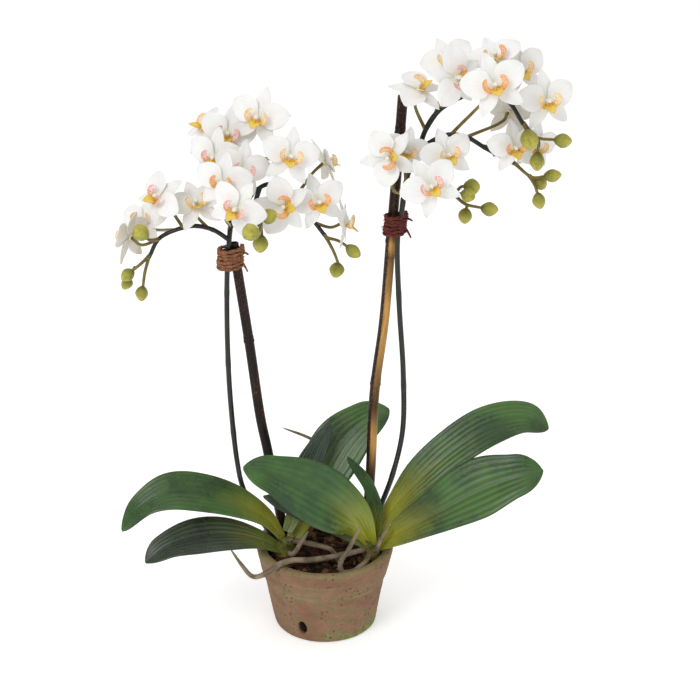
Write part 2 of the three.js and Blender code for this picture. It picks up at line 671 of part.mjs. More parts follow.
// The potting mix: a plug that fills the pot, heaped with bark chips, with a hole for whatever stands in it.
function mixSolid(standing) {
  const inset = GAP;
  const slope = (potInner[2][0] - potInner[1][0]) / (potInner[2][1] - potInner[1][1]);
  const topRadius = potInner[1][0] + slope * (SOIL_TOP - POT_FLOOR) - inset;
  const profile = [
    [0, POT_FLOOR + inset],
    [potInner[1][0] - inset, POT_FLOOR + inset],
    [topRadius, SOIL_TOP],
    [topRadius * 0.6, SOIL_TOP + 1.4],
    [0, SOIL_TOP + 2],
  ];
  const plug = new THREE.LatheGeometry(
    profile.map(([r, z]) => new THREE.Vector2(r, z)),
    28,
  ).rotateX(Math.PI / 2);
  const random = seeded(41);
  const chips = [];
  for (let i = 0; i < CHIP_COUNT; i++) {
    const ring = Math.sqrt((i + 0.5) / CHIP_COUNT) * 38;
    const angle = i * 137.5 + random() * 18;
    const long = 8 + random() * 6;
    const tall = 3.4 + random() * 2;
    const chip = new THREE.BoxGeometry(long, long * (0.5 + random() * 0.25), tall)
      .applyMatrix4(turn(random() * 30 - 15, random() * 30 - 15, random() * 180))
      .translate(ring * Math.cos(rad(angle)), ring * Math.sin(rad(angle)), SOIL_TOP + 0.8 + random());
    chips.push(solid(chip));
  }
  return cut(join([solid(plug), ...chips, ...drains(GAP)]), standing);
}

const leftCrownAt = [-33, -12, 78];
const rightCrownAt = [38.5, -13, 79];
const leftCrown = crown(leftCrownAt, LEFT_ROOTS);
const rightCrown = crown(rightCrownAt, RIGHT_ROOTS);
const leftSpray = spray(LEFT_STEM, LEFT_BRANCHES, LEFT_TWIGS, LEFT_BUDS, LEFT_BLOOMS, 0);
const rightSpray = spray(RIGHT_STEM, RIGHT_BRANCHES, RIGHT_TWIGS, RIGHT_BUDS, RIGHT_BLOOMS, 0);
const leftStake = stake(LEFT_STAKE);
const rightStake = stake(RIGHT_STAKE);

const leftPair = [stake(LEFT_STAKE, GAP), spray(LEFT_STEM, [], [], [], [], GAP)];
const rightPair = [stake(RIGHT_STAKE, GAP), spray(RIGHT_STEM, [], [], [], [], GAP)];

const leftBase = crown(leftCrownAt, LEFT_ROOTS, GAP);
const rightBase = crown(rightCrownAt, RIGHT_ROOTS, GAP);

const leftTie = tie([-72.5, 3, 325], 5, 45, 12, 8.6, 4, 4.4, leftPair);
const rightTie = tie([56.2, 1.8, 353.5], 6, 50, 11.2, 7.8, 4, 4.2, rightPair);

const part = new THREE.Group();
const LEAF_GREEN = 0x47652a;
const crowns = new THREE.Group();
crowns.add(meshOf("plant_base_left", leftCrown, 0x8f9a4d, 0.6));
crowns.add(meshOf("plant_base_right", rightCrown, 0x8f9a4d, 0.6));
part.add(crowns);

part.add(meshOf("pot", potSolid(), 0x8a5a43, 0.9));
const mix = mixSolid([...leftPair, ...rightPair, leftBase, rightBase]);
part.add(meshOf("potting_mix", mix, 0x4a2f1d, 0.95));
part.add(meshOf("stake_left", leftStake, 0x2e1c14, 0.6));
part.add(meshOf("stake_right", rightStake, 0x2e1c14, 0.6));
part.add(meshOf("tie_left", leftTie, 0x8a4a2c, 0.9));
part.add(meshOf("tie_right", rightTie, 0x57241f, 0.9));
part.add(meshOf("spray_left", leftSpray, 0x2c3316, 0.5));
part.add(meshOf("spray_right", rightSpray, 0x2c3316, 0.5));

const leaves = new THREE.Group();
Object.entries(LEAVES).forEach(([name, rows]) => {
  const blade = cut(leaf(rows), [leftBase, rightBase]);
  leaves.add(meshOf(name, blade, LEAF_GREEN, 0.4));
});
part.add(leaves);

const blooms = new THREE.Group();
[...LEFT_BLOOMS, ...RIGHT_BLOOMS].forEach(([name, at, face, top, size, reflex]) => {
  const mesh = meshOf("bloom_" + name, bloomSolid(size, reflex), 0xf1f1f6, 0.6);
  mesh.applyMatrix4(bloomFrame(at, face, top));
  blooms.add(mesh);
});
part.add(blooms);

export default part;
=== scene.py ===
"""The looks of a miniature moth orchid in a terracotta pot, built round its solids.

Metres, +Z up. The front faces -Y, and the origin is the centre of the pot's flat base. Lengths in the
tables below are millimetres, and a Form turns them into metres when it is set in place.
"""

import logging
import math
import random
from collections.abc import Callable, Sequence
from dataclasses import dataclass
from enum import Enum

import bmesh
import bpy
from mathutils import Matrix, Vector, noise


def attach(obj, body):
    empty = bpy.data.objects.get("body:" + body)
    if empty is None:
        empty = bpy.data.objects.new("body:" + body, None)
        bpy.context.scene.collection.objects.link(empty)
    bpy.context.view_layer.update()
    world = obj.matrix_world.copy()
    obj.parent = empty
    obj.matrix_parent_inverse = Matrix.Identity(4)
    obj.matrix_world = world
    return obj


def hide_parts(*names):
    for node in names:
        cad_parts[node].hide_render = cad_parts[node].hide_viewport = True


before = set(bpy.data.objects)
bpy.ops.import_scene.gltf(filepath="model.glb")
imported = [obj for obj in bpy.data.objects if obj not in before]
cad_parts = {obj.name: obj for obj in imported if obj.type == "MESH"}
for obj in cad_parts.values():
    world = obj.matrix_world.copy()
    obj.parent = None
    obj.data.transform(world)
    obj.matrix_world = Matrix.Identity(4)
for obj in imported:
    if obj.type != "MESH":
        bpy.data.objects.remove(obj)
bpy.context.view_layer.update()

LOG = logging.getLogger("orchid")
MM = 0.001
GOLDEN_ANGLE = 2.39996
LEAF_RIBS = 4.5
FINE_STEPS = 400
Triple = tuple[float, float, float]
Colour = tuple[float, float, float, float]


def tone(code: int) -> Colour:
    """Turns a 0xRRGGBB colour into linear light.

    Args:
        code: the colour as it looks on a screen.

    Returns:
        Red, green, blue and an alpha of 1.
    """
    parts = [((code >> shift) & 255) / 255 for shift in (16, 8, 0)]
    line = [c / 12.92 if c <= 0.04045 else ((c + 0.055) / 1.055) ** 2.4 for c in parts]
    return (line[0], line[1], line[2], 1.0)


def between(rows: Sequence[tuple[float, float]], at: float) -> float:
    """Reads a smooth curve through a few rows.

    Args:
        rows: places and values, with the places rising.
        at: the place to read.

    Returns:
        The value there, held at both ends.
    """
    if at <= rows[0][0]:
        return rows[0][1]
    if at >= rows[-1][0]:
        return rows[-1][1]
    k = next(i for i in range(len(rows) - 1) if rows[i + 1][0] >= at)
    (x0, y0), (x1, y1) = rows[k], rows[k + 1]
    span = x1 - x0
    before = rows[max(k - 1, 0)]
    after = rows[min(k + 2, len(rows) - 1)]
    m0 = (y1 - before[1]) / (x1 - before[0]) * span
    m1 = (after[1] - y0) / (after[0] - x0) * span
    t = (at - x0) / span
    return (
        (2 * t**3 - 3 * t**2 + 1) * y0
        + (t**3 - 2 * t**2 + t) * m0
        + (3 * t**2 - 2 * t**3) * y1
        + (t**3 - t**2) * m1
    )


class Side(Enum):
    """Which of the two plants a piece belongs to."""

    LEFT = "left"
    RIGHT = "right"


class LipDress(Enum):
    """How the side lobes of a lip are coloured."""

    CREAM = "cream"
    ROSY = "rosy"
    APRICOT = "apricot"


class Value:
    """An output socket that adds Math nodes when it is used in an expression."""

    def __init__(self, shader: "Shader", socket: bpy.types.NodeSocket) -> None:
        """Keeps the shader and the socket."""
        self.shader = shader
        self.socket = socket

    def _math(self, operation: str, *parts: "Value | float") -> "Value":
        """Adds one Math node and returns its result."""
        return self.shader.node("ShaderNodeMath", {"operation": operation}, dict(enumerate(parts)))

    def __add__(self, other: "Value | float") -> "Value":
        """Adds."""
        return self._math("ADD", self, other)

    def __radd__(self, other: float) -> "Value":
        """Adds to a number."""
        return self._math("ADD", other, self)

    def __sub__(self, other: "Value | float") -> "Value":
        """Subtracts."""
        return self._math("SUBTRACT", self, other)

    def __rsub__(self, other: float) -> "Value":
        """Subtracts from a number."""
        return self._math("SUBTRACT", other, self)

    def __mul__(self, other: "Value | float") -> "Value":
        """Multiplies."""
        return self._math("MULTIPLY", self, other)

    def sine(self) -> "Value":
        """The sine."""
        return self._math("SINE", self)

    def size(self) -> "Value":
        """The value without its sign."""
        return self._math("ABSOLUTE", self)

    def rise(self, low: float, high: float) -> "Value":
        """A mask that rises smoothly from 0 at low to 1 at high.

        Args:
            low: where the mask is 0. It may be above high, and then the mask falls.
            high: where the mask is 1.

        Returns:
            The mask.
        """
        settings = {"interpolation_type": "SMOOTHSTEP", "clamp": True}
        if low <= high:
            return self.shader.node("ShaderNodeMapRange", settings, {0: self, 1: low, 2: high})
        return 1 - self.rise(high, low)


class Shader:
    """One material's node tree, with short ways to add nodes to it."""

    def __init__(self, name: str) -> None:
        """Starts a material that holds only its surface shader.

        Args:
            name: what the material is called.
        """
        self.material = bpy.data.materials.new(name)
        self.material.use_nodes = True
        self.tree = self.material.node_tree
        self.surface = self.tree.nodes["Principled BSDF"]

    def node(
        self,
        kind: str,
        settings: dict[str, object],
        sockets: dict[int | str, object],
        output: int | str = 0,
    ) -> Value:
        """Adds a node.

        Args:
            kind: the node's type.
            settings: its properties, which are set first.
            sockets: a value or a link for each input, by name or place.
            output: the output that is wanted.

        Returns:
            That output.
        """
        made = self.tree.nodes.new(kind)
        for key, value in settings.items():
            setattr(made, key, value)
        for key, value in sockets.items():
            self.feed(made.inputs[key], value)
        return Value(self, made.outputs[output])

    def feed(self, socket: bpy.types.NodeSocket, value: object) -> None:
        """Links a Value to a socket, or sets a constant on it.

        Args:
            socket: the input.
            value: what it takes.
        """
        if isinstance(value, Value):
            self.tree.links.new(value.socket, socket)
        else:
            socket.default_value = value

    def dress(self, **sockets: object) -> None:
        """Sets the surface's sockets, with underscores for the spaces in their names."""
        for key, value in sockets.items():
            self.feed(self.surface.inputs[key.replace("_", " ")], value)

    def place(self) -> Value:
        """Where a point lies on the object, in metres."""
        return self.node("ShaderNodeTexCoord", {}, {}, "Object")

    def way(self) -> Value:
        """A piece's own surface coordinates."""
        return self.node("ShaderNodeAttribute", {"attribute_name": "way"}, {}, "Vector")

    def tint(self) -> Value:
        """A number that differs from one small part of a piece to the next."""
        return self.node("ShaderNodeAttribute", {"attribute_name": "tint"}, {}, "Fac")

    def stretch(self, vector: Value, by: Triple) -> Value:
        """Scales a vector along each axis."""
        return self.node("ShaderNodeVectorMath", {"operation": "MULTIPLY"}, {0: vector, 1: by})

    def axis(self, vector: Value, name: str) -> Value:
        """One coordinate of a vector."""
        return self.node("ShaderNodeSeparateXYZ", {}, {0: vector}, name)

    def cloud(self, vector: Value, scale: float, detail: float = 4, rough: float = 0.55) -> Value:
        """Soft noise from 0 to 1."""
        inputs = {"Vector": vector, "Scale": scale, "Detail": detail, "Roughness": rough}
        return self.node("ShaderNodeTexNoise", {}, inputs)

    def cells(self, vector: Value, scale: float) -> Value:
        """The distance to the nearest of many scattered points."""
        return self.node("ShaderNodeTexVoronoi", {}, {"Vector": vector, "Scale": scale}, "Distance")

    def mix(self, mask: "Value | float", first: object, second: object) -> Value:
        """Goes from the first colour to the second as the mask goes from 0 to 1."""
        return self.node("ShaderNodeMix", {"data_type": "RGBA"}, {0: mask, 6: first, 7: second}, 2)

    def bump(self, height: Value, distance: float, strength: float = 1.0) -> None:
        """Turns a height into small relief.

        Args:
            height: the height, about 0 to 1.
            distance: how deep that is, in metres.
            strength: how much of it shows.
        """
        inputs = {"Height": height, "Distance": distance, "Strength": strength}
        self.dress(Normal=self.node("ShaderNodeBump", {}, inputs))


@dataclass(frozen=True)
class Finish:
    """A surface finish, with the record's material slot that it belongs to."""

    name: str
    slot: str

    def build(self) -> bpy.types.Material:
        """Makes the material, once for each finish.

        Returns:
            The material.
        """
        known = bpy.data.materials.get(self.name)
        if known:
            return known
        shader = Shader(self.name)
        self.paint(shader)
        return shader.material

    def paint(self, shader: Shader) -> None:
        """Adds the finish's own nodes."""
        raise NotImplementedError


@dataclass(frozen=True)
class TerracottaFinish(Finish):
    """Weathered clay with throwing lines, pits, olive patches and moss low on one side."""

    clay: int = 0x946E54
    dark: int = 0x7C5B46
    olive: int = 0x716B4C
    moss: int = 0x7F8B52
    chalk: int = 0xA58E77
    speck: int = 0x7A4C3B
    pit_shade: int = 0x3A261D

    def paint(self, shader: Shader) -> None:
        """Adds the nodes of the finish.

        Args:
            shader: the material that they go into.
        """
        at = shader.place()
        x, z = shader.axis(at, "X"), shader.axis(at, "Z")
        broad = shader.cloud(shader.stretch(at, (1, 1, 1.7)), 24, 5, 0.66)
        fine = shader.cloud(at, 210, 6, 0.7)
        grit = shader.cloud(at, 620, 4, 0.6)
        film = shader.cloud(shader.stretch(at, (1, 1, 1.6)), 105, 6, 0.74)
        lines = shader.cloud(shader.stretch(at, (4, 4, 170)), 1.6, 3)
        colour = shader.mix(broad.rise(0.36, 0.64), tone(self.dark), tone(self.clay))
        colour = shader.mix((film * 0.75 + broad * 0.35).rise(0.5, 0.66) * 0.8, colour, tone(self.olive))
        colour = shader.mix(grit.rise(0.54, 0.68) * 0.5, colour, tone(self.speck))
        colour = shader.mix(lines.rise(0.56, 0.74) * 0.2, colour, tone(self.chalk))
        step = z.rise(0.0425, 0.0442) * z.rise(0.0478, 0.0458) * fine.rise(0.36, 0.56)
        high = z.rise(0.0675, 0.071) * fine.rise(0.3, 0.6)
        colour = shader.mix(step * 0.45 + high * 0.4, colour, tone(self.moss))
        growth = shader.cloud(at, 70, 5, 0.6) + x * 2.6 - z * 16
        mossy = growth.rise(0.4, 0.62) * fine.rise(0.3, 0.54)
        colour = shader.mix(mossy * 0.8, colour, tone(self.moss))
        spread = shader.cloud(at, 46, 2).rise(0.44, 0.62)
        pits = shader.cells(at, 260).rise(0.3, 0.1) * spread
        # Painted shade: the small pits are darkened towards near-black, standing in for the shade inside
        # them.
        colour = shader.mix(pits * 0.75, colour, tone(self.pit_shade))
        colour = shader.mix(fine.rise(0.56, 0.74) * 0.35, colour, tone(self.chalk))
        shader.dress(Base_Color=colour, Roughness=0.8 + fine * 0.18, Specular_IOR_Level=0.3)
        shader.bump(fine * 0.9 + lines * 0.5 - pits * 0.9 + mossy * 0.6, 0.0011)


@dataclass(frozen=True)
class BarkFinish(Finish):
    """Chips of fir bark, each its own brown, with fine grain."""

    damp: int = 0x170E09
    brown: int = 0x3E2415
    dry: int = 0x6E4A31
    worn: int = 0x8C6544

    def paint(self, shader: Shader) -> None:
        """Adds the nodes of the finish.

        Args:
            shader: the material that they go into.
        """
        at, tint = shader.place(), shader.tint()
        grain = shader.cloud(shader.stretch(at, (1, 1, 3)), 420, 6, 0.7)
        colour = shader.mix(tint.rise(0.1, 0.7), tone(self.damp), tone(self.brown))
        colour = shader.mix(tint.rise(0.7, 1), colour, tone(self.dry))
        colour = shader.mix(grain.rise(0.52, 0.75) * tint.rise(0, 0.3) * 0.5, colour, tone(self.worn))
        shader.dress(Base_Color=colour, Roughness=0.86 + grain * 0.1, Specular_IOR_Level=0.14)
        shader.bump(grain, 0.0008)


@dataclass(frozen=True)
class BambooFinish(Finish):
    """Dark smoked bamboo, flecked and streaked with bronze along its length."""

    streaks: float = 0.5
    smoke: int = 0x0A0708
    brown: int = 0x1C1110
    bronze: int = 0x85501F
    scar: int = 0xC2924F

    def paint(self, shader: Shader) -> None:
        """Adds the nodes of the finish.

        Args:
            shader: the material that they go into.
        """
        way = shader.way()
        long = shader.cloud(shader.stretch(way, (1, 1, 0.09)), 520, 5, 0.6)
        fleck = shader.cloud(shader.stretch(way, (1, 1, 0.35)), 1500, 4, 0.7)
        reach = shader.cloud(shader.stretch(way, (6, 6, 1)), 13, 2)
        worn = reach.rise(0.62 - 0.3 * self.streaks, 0.74 - 0.3 * self.streaks)
        scarred = shader.tint()
        flecked = (worn * 0.85 + 0.06) * fleck.rise(0.53, 0.65)
        colour = shader.mix(long.rise(0.4, 0.65), tone(self.smoke), tone(self.brown))
        colour = shader.mix(flecked * 0.9, colour, tone(self.bronze))
        side = shader.axis(way, "Y") * -1 - shader.axis(way, "X") * 0.5 + fleck * 0.003
        pale = side.rise(0.0012, 0.0026) * (0.6 + long.rise(0.3, 0.6) * 0.4)
        colour = shader.mix(scarred * pale, colour, tone(self.scar))
        shader.dress(Base_Color=colour, Roughness=0.34 + fleck * 0.25, Specular_IOR_Level=0.22)
        shader.bump(long * 0.7 + fleck * 0.3, 0.0003)


@dataclass(frozen=True)
class TwineFinish(Finish):
    """Rough plied twine with loose fibres."""

    light: int = 0xB27C5C
    dark: int = 0x4B2414

    def paint(self, shader: Shader) -> None:
        """Adds the nodes of the finish.

        Args:
            shader: the material that they go into.
        """
        fibre = shader.cloud(shader.stretch(shader.way(), (1, 1, 0.2)), 2300, 4, 0.7)
        wide = shader.cloud(shader.place(), 300, 3)
        colour = shader.mix(fibre.rise(0.34, 0.66), tone(self.dark), tone(self.light))
        colour = shader.mix(wide.rise(0.5, 0.75) * 0.4, colour, tone(self.dark))
        shader.dress(Base_Color=colour, Roughness=0.92, Specular_IOR_Level=0.2)
        shader.bump(fibre, 0.0004)


@dataclass(frozen=True)
class StemFinish(Finish):
    """A flower stem's skin, from black-green to olive, lightly glossy and finely ridged."""

    deep: int = 0x0B0E09
    light: int = 0x1C2316
    blush: int = 0x262314

    def paint(self, shader: Shader) -> None:
        """Adds the nodes of the finish.

        Args:
            shader: the material that they go into.
        """
        ridges = shader.cloud(shader.stretch(shader.way(), (1, 1, 0.1)), 900, 4)
        wide = shader.cloud(shader.place(), 130, 4)
        colour = shader.mix(ridges.rise(0.38, 0.66), tone(self.deep), tone(self.light))
        colour = shader.mix(wide.rise(0.52, 0.72) * 0.7, colour, tone(self.blush))
        shader.dress(Base_Color=colour, Roughness=0.16 + wide * 0.16, Specular_IOR_Level=0.4)
        shader.bump(ridges * 0.6 + wide * 0.4, 0.0003)


@dataclass(frozen=True)
class BudFinish(Finish):
    """The olive-green skin of a closed bud, browner along its seams and at its foot."""

    low: int = 0x757A1E
    high: int = 0xB4AE42
    mottling: int = 0x6C6A1E
    seam: int = 0x6B5A22
    foot: int = 0x54481C

    def paint(self, shader: Shader) -> None:
        """Adds the nodes of the finish.

        Args:
            shader: the material that they go into.
        """
        way = shader.way()
        seam, along = shader.axis(way, "X"), shader.axis(way, "Y")
        mottle = shader.cloud(shader.place(), 420, 5, 0.6)
        veins = shader.cloud(shader.stretch(way, (26, 2, 1)), 1.0, 3)
        colour = shader.mix(along.rise(0, 1), tone(self.low), tone(self.high))
        colour = shader.mix(mottle.rise(0.46, 0.7) * 0.6, colour, tone(self.mottling))
        colour = shader.mix(seam.rise(0.72, 1) * 0.25, colour, tone(self.seam))
        colour = shader.mix(along.rise(0.2, 0) * 0.6, colour, tone(self.foot))
        shader.dress(Base_Color=colour, Roughness=0.3 + mottle * 0.2, Subsurface_Weight=0.05)
        shader.bump(veins * 0.6 + mottle * 0.4, 0.0005)


@dataclass(frozen=True)
class LeafFinish(Finish):
    """A leathery leaf face with long ribs, a deep midrib and a yellow-green base, with painted shade in the
    rib valleys and along the midrib.
    """

    deep: int = 0x1A3A15
    fresh: int = 0x3A6829
    base: int = 0x98992A
    rim: int = 0x27301C
    gloss: float = 0.2
    shine: float = 0.5

    def paint(self, shader: Shader) -> None:
        """Adds the nodes of the finish.

        Args:
            shader: the material that they go into.
        """
        way = shader.way()
        across, along = shader.axis(way, "X"), shader.axis(way, "Y")
        wide = shader.cloud(shader.place(), 26, 4)
        ribs = (across * (LEAF_RIBS * math.tau) + math.pi / 2).sine() * 0.5 + 0.5
        hair = shader.cloud(shader.stretch(way, (85, 2.2, 1)), 1.0, 4, 0.6)
        green = shader.mix(wide.rise(0.36, 0.66), tone(self.deep), tone(self.fresh))
        green = shader.mix(hair.rise(0.48, 0.72) * 0.4, green, tone(self.fresh))
        # Painted shade: darker in the valleys between the blade's ribs.
        green = shader.mix((1 - ribs) * 0.35, green, tone(self.deep))
        # Painted shade: darker along the sunken midrib.
        middle = across.size().rise(0.05, 0)
        green = shader.mix(middle * 0.6, green, tone(self.deep))
        young = (along + across.size() * 0.1 - wide * 0.1).rise(0.44, 0.04)
        colour = shader.mix(young * 0.85, green, tone(self.base))
        edge = across.size().rise(0.955, 0.995)
        colour = shader.mix(edge * 0.55, colour, tone(self.rim))
        shader.dress(Base_Color=colour, Roughness=self.gloss + wide * 0.16, Specular_IOR_Level=self.shine)
        shader.dress(Subsurface_Weight=0.03)
        shader.bump(hair, 0.0002, 0.6)


@dataclass(frozen=True)
class SheathFinish(Finish):
    """The ribbed yellow-green sheaths where the leaves part."""

    low: int = 0x8C7D3A
    high: int = 0x6F7E2E
    groove: int = 0x4C5724
    withered: int = 0x7B5F38

    def paint(self, shader: Shader) -> None:
        """Adds the nodes of the finish.

        Args:
            shader: the material that they go into.
        """
        way = shader.way()
        ribs = shader.cloud(shader.stretch(way, (46, 2, 1)), 1.0, 3)
        along = shader.axis(way, "Y")
        colour = shader.mix(along.rise(0.1, 0.9), tone(self.low), tone(self.high))
        colour = shader.mix(ribs.rise(0.42, 0.66) * 0.7, colour, tone(self.groove))
        dry = shader.cloud(shader.place(), 150, 5).rise(0.48, 0.64)
        dry = dry * along.rise(0.1, 0.5) + along.rise(0.9, 1) * 0.5
        colour = shader.mix(dry * 0.7, colour, tone(self.withered))
        shader.dress(Base_Color=colour, Roughness=0.5 + ribs * 0.2)
        shader.bump(ribs, 0.0006)


@dataclass(frozen=True)
class RootFinish(Finish):
    """The dry grey-beige skin of an air root, greener at its growing tip."""

    dark: int = 0x605242
    skin: int = 0x8B7C67
    pale: int = 0xA99C82
    crack: int = 0x55462E
    tip: int = 0x7F8449

    def paint(self, shader: Shader) -> None:
        """Adds the nodes of the finish.

        Args:
            shader: the material that they go into.
        """
        way = shader.way()
        skin = shader.cloud(shader.stretch(way, (1, 1, 0.12)), 950, 5, 0.65)
        wide = shader.cloud(shader.place(), 95, 4)
        colour = shader.mix(wide.rise(0.36, 0.66), tone(self.dark), tone(self.skin))
        colour = shader.mix(skin.rise(0.5, 0.72) * 0.5, colour, tone(self.pale))
        colour = shader.mix(skin.rise(0.45, 0.3) * 0.6, colour, tone(self.crack))
        colour = shader.mix(shader.tint() * 0.6, colour, tone(self.tip))
        shader.dress(Base_Color=colour, Roughness=0.74 + skin * 0.2, Specular_IOR_Level=0.3)
        shader.bump(skin * 0.6 + wide * 0.5, 0.0007)


@dataclass(frozen=True)
class TepalFinish(Finish):
    """White sepals and petals with faint long veins, cream-green at the heart."""

    face: int = 0xF0EFEE
    vein: int = 0xDEDDDC
    heart: int = 0xDFDDB2
    edge: int = 0xF4F4F2

    def paint(self, shader: Shader) -> None:
        """Adds the nodes of the finish.

        Args:
            shader: the material that they go into.
        """
        way = shader.way()
        across, along = shader.axis(way, "X"), shader.axis(way, "Y")
        veins = shader.cloud(shader.stretch(way, (34, 1.6, 1)), 1.0, 3)
        colour = shader.mix(veins.rise(0.44, 0.66) * 0.45, tone(self.face), tone(self.vein))
        colour = shader.mix(along.rise(0.24, 0.02) * 0.5, colour, tone(self.heart))
        colour = shader.mix(across.size().rise(0.9, 1) * 0.4, colour, tone(self.edge))
        shader.dress(Base_Color=colour, Roughness=0.5, Specular_IOR_Level=0.3)
        shader.dress(Subsurface_Weight=0.12, Subsurface_Scale=0.003)
        shader.bump(veins, 0.0003, 0.8)


@dataclass(frozen=True)
class LipFinish(Finish):
    """A lip with a yellow heart, spotted side lobes and darker edges."""

    ground: int = 0xF8E9C4
    heart: int = 0xE9C23E
    edge: int = 0xEDA76A
    spot: int = 0xD9586C
    spots: float = 0.5

    def paint(self, shader: Shader) -> None:
        """Adds the nodes of the finish.

        Args:
            shader: the material that they go into.
        """
        way = shader.way()
        across, along = shader.axis(way, "X"), shader.axis(way, "Y")
        soft = shader.cloud(shader.place(), 500, 4)
        colour = shader.mix(along.rise(0.62, 0.12), tone(self.ground), tone(self.heart))
        rim = (across.size() + soft * 0.3).rise(0.72, 1.12)
        colour = shader.mix(rim * 0.55, colour, tone(self.edge))
        dots = shader.cells(shader.place(), 1250).rise(0.46, 0.26)
        dots = dots * (along + soft * 0.4).rise(0.1, 0.4) * shader.tint()
        colour = shader.mix(dots * self.spots, colour, tone(self.spot))
        shader.dress(Base_Color=colour, Roughness=0.42 + soft * 0.12)
        shader.dress(Subsurface_Weight=0.15, Subsurface_Scale=0.002)
        shader.bump(soft, 0.0002)


@dataclass(frozen=True)
class ColumnFinish(Finish):
    """The waxy white column, blushed underneath."""

    wax: int = 0xE9E5DC
    shade: int = 0xDAD3C2
    blush: int = 0xDE95A0

    def paint(self, shader: Shader) -> None:
        """Adds the nodes of the finish.

        Args:
            shader: the material that they go into.
        """
        soft = shader.cloud(shader.place(), 420, 4)
        under = shader.axis(shader.way(), "Y").rise(0.0003, -0.0013)
        colour = shader.mix(soft.rise(0.4, 0.7) * 0.3, tone(self.wax), tone(self.shade))
        colour = shader.mix(under * soft.rise(0.4, 0.55) * 0.6, colour, tone(self.blush))
        shader.dress(Base_Color=colour, Roughness=0.5 + soft * 0.1)
        shader.dress(Subsurface_Weight=0.1, Subsurface_Scale=0.002)
        shader.bump(soft, 0.0002)


CLAY = TerracottaFinish("weathered clay", "pot")
BARK = BarkFinish("fir bark", "potting_mix")
BAMBOO_LEFT = BambooFinish("smoked bamboo, flecked", "bamboo", streaks=0.55)
BAMBOO_RIGHT = BambooFinish("smoked bamboo, streaked", "bamboo", streaks=0.95)
COPPER_TWINE = TwineFinish("copper twine", "twine_copper")
MAROON_TWINE = TwineFinish("maroon twine", "twine_maroon", light=0x83423B, dark=0x2A0E0D)
DARK_STEM = StemFinish("black-green stem", "stem")
OLIVE_STALK = StemFinish("olive stalk", "stem", deep=0x5D4B16, light=0x8A7B30, blush=0x54401A)
BUD_SKIN = BudFinish("bud skin", "stem")
SHEATH = SheathFinish("leaf sheath", "plant_base")
ROOT_SKIN = RootFinish("root skin", "plant_base")
LEAF_FACE = LeafFinish("leaf face", "leaf")
# A darker, greyer copy of the leaf face: painted shade for the leaves that lie in the shade of others.
LEAF_PAINTED_SHADE = LeafFinish("shaded leaf face", "leaf", deep=0x18271A, fresh=0x2F4630, base=0x687A30)
LEAF_BACK = LeafFinish(
    "leaf back", "leaf", deep=0x34402F, fresh=0x4F5C40, base=0x84903C, rim=0x34361F, gloss=0.45, shine=0.25
)
TEPAL = TepalFinish("white tepal", "bloom")
# The tepals' backs, a darker grey-beige copy of the face: painted shade for the sides that turn away from the
# light.
TEPAL_BACK_PAINTED_SHADE = TepalFinish("tepal back in painted shade", "bloom", face=0xE3E0D6, vein=0xCFCABD, heart=0xC9C694)
COLUMN = ColumnFinish("waxy column", "bloom")
LIPS = {
    dress: LipFinish(f"{dress.value} lip", "bloom", *colours, spots)
    for dress, colours, spots in (
        (LipDress.CREAM, (0xF4E3B6, 0xE6C44E, 0xE7B566, 0xDC6C62), 0.8),
        (LipDress.ROSY, (0xF3D6CF, 0xE6C46A, 0xE9A496, 0xC93A60), 0.95),
        (LipDress.APRICOT, (0xF2C592, 0xE3BC48, 0xE59A58, 0xD6534C), 0.9),
    )
}
MIDDLE_LOBE = LipFinish(
    "golden middle lobe", "bloom", ground=0xE2CC58, heart=0xDDBA42, edge=0xD79A45, spot=0xCC7040
)


@dataclass(frozen=True)
class Route:
    """A smooth line through a few points, in millimetres."""

    points: tuple[Triple, ...]

    def at(self, share: float) -> Vector:
        """Reads the line.

        Args:
            share: how far along the points, from 0 to 1.

        Returns:
            The point there.
        """
        pts = [Vector(p) for p in self.points]
        last = len(pts) - 1
        place = min(max(share, 0.0), 1.0) * last
        k = min(int(place), last - 1)
        t = place - k
        p1, p2 = pts[k], pts[k + 1]
        p0 = pts[k - 1] if k > 0 else p1 * 2 - p2
        p3 = pts[k + 2] if k + 2 <= last else p2 * 2 - p1
        d0, d1, d2 = (max((b - a).length, 1e-6) ** 0.5 for a, b in ((p0, p1), (p1, p2), (p2, p3)))
        m1 = ((p1 - p0) / d0 - (p2 - p0) / (d0 + d1) + (p2 - p1) / d1) * d1
        m2 = ((p2 - p1) / d1 - (p3 - p1) / (d1 + d2) + (p3 - p2) / d2) * d1
        return (
            p1
            + m1 * t
            + (p2 * 3 - p1 * 3 - m1 * 2 - m2) * t**2
            + (p1 * 2 - p2 * 2 + m1 + m2) * t**3
        )

    def spaced(self, steps: int) -> list[Vector]:
        """Points an even distance apart.

        Args:
            steps: how many stretches the line is cut into.

        Returns:
            The points, one more than the steps.
        """
        fine = [self.at(i / FINE_STEPS) for i in range(FINE_STEPS + 1)]
        run = [0.0]
        for a, b in zip(fine, fine[1:]):
            run.append(run[-1] + (b - a).length)
        found, k = [], 0
        for i in range(steps + 1):
            goal = run[-1] * i / steps
            while k < FINE_STEPS - 1 and run[k + 1] < goal:
                k += 1
            share = (goal - run[k]) / max(run[k + 1] - run[k], 1e-9)
            found.append(fine[k].lerp(fine[k + 1], min(max(share, 0.0), 1.0)))
        return found


def frames_along(centres: Sequence[Vector]) -> list[Matrix]:
    """Places along a line that don't turn about it.

    Args:
        centres: points along the line.

    Returns:
        A matrix for each point, with Z along the line.
    """
    made: list[Matrix] = []
    side = Vector((0, 1, 0))
    for i, centre in enumerate(centres):
        ahead = centres[min(i + 1, len(centres) - 1)] - centres[max(i - 1, 0)]
        ahead.normalize()
        if abs(side.dot(ahead)) > 0.98:
            side = ahead.orthogonal()
        x = (side - ahead * side.dot(ahead)).normalized()
        y = ahead.cross(x)
        side = x
        turn = Matrix((x, y, ahead)).transposed().to_4x4()
        made.append(Matrix.Translation(centre) @ turn)
    return made


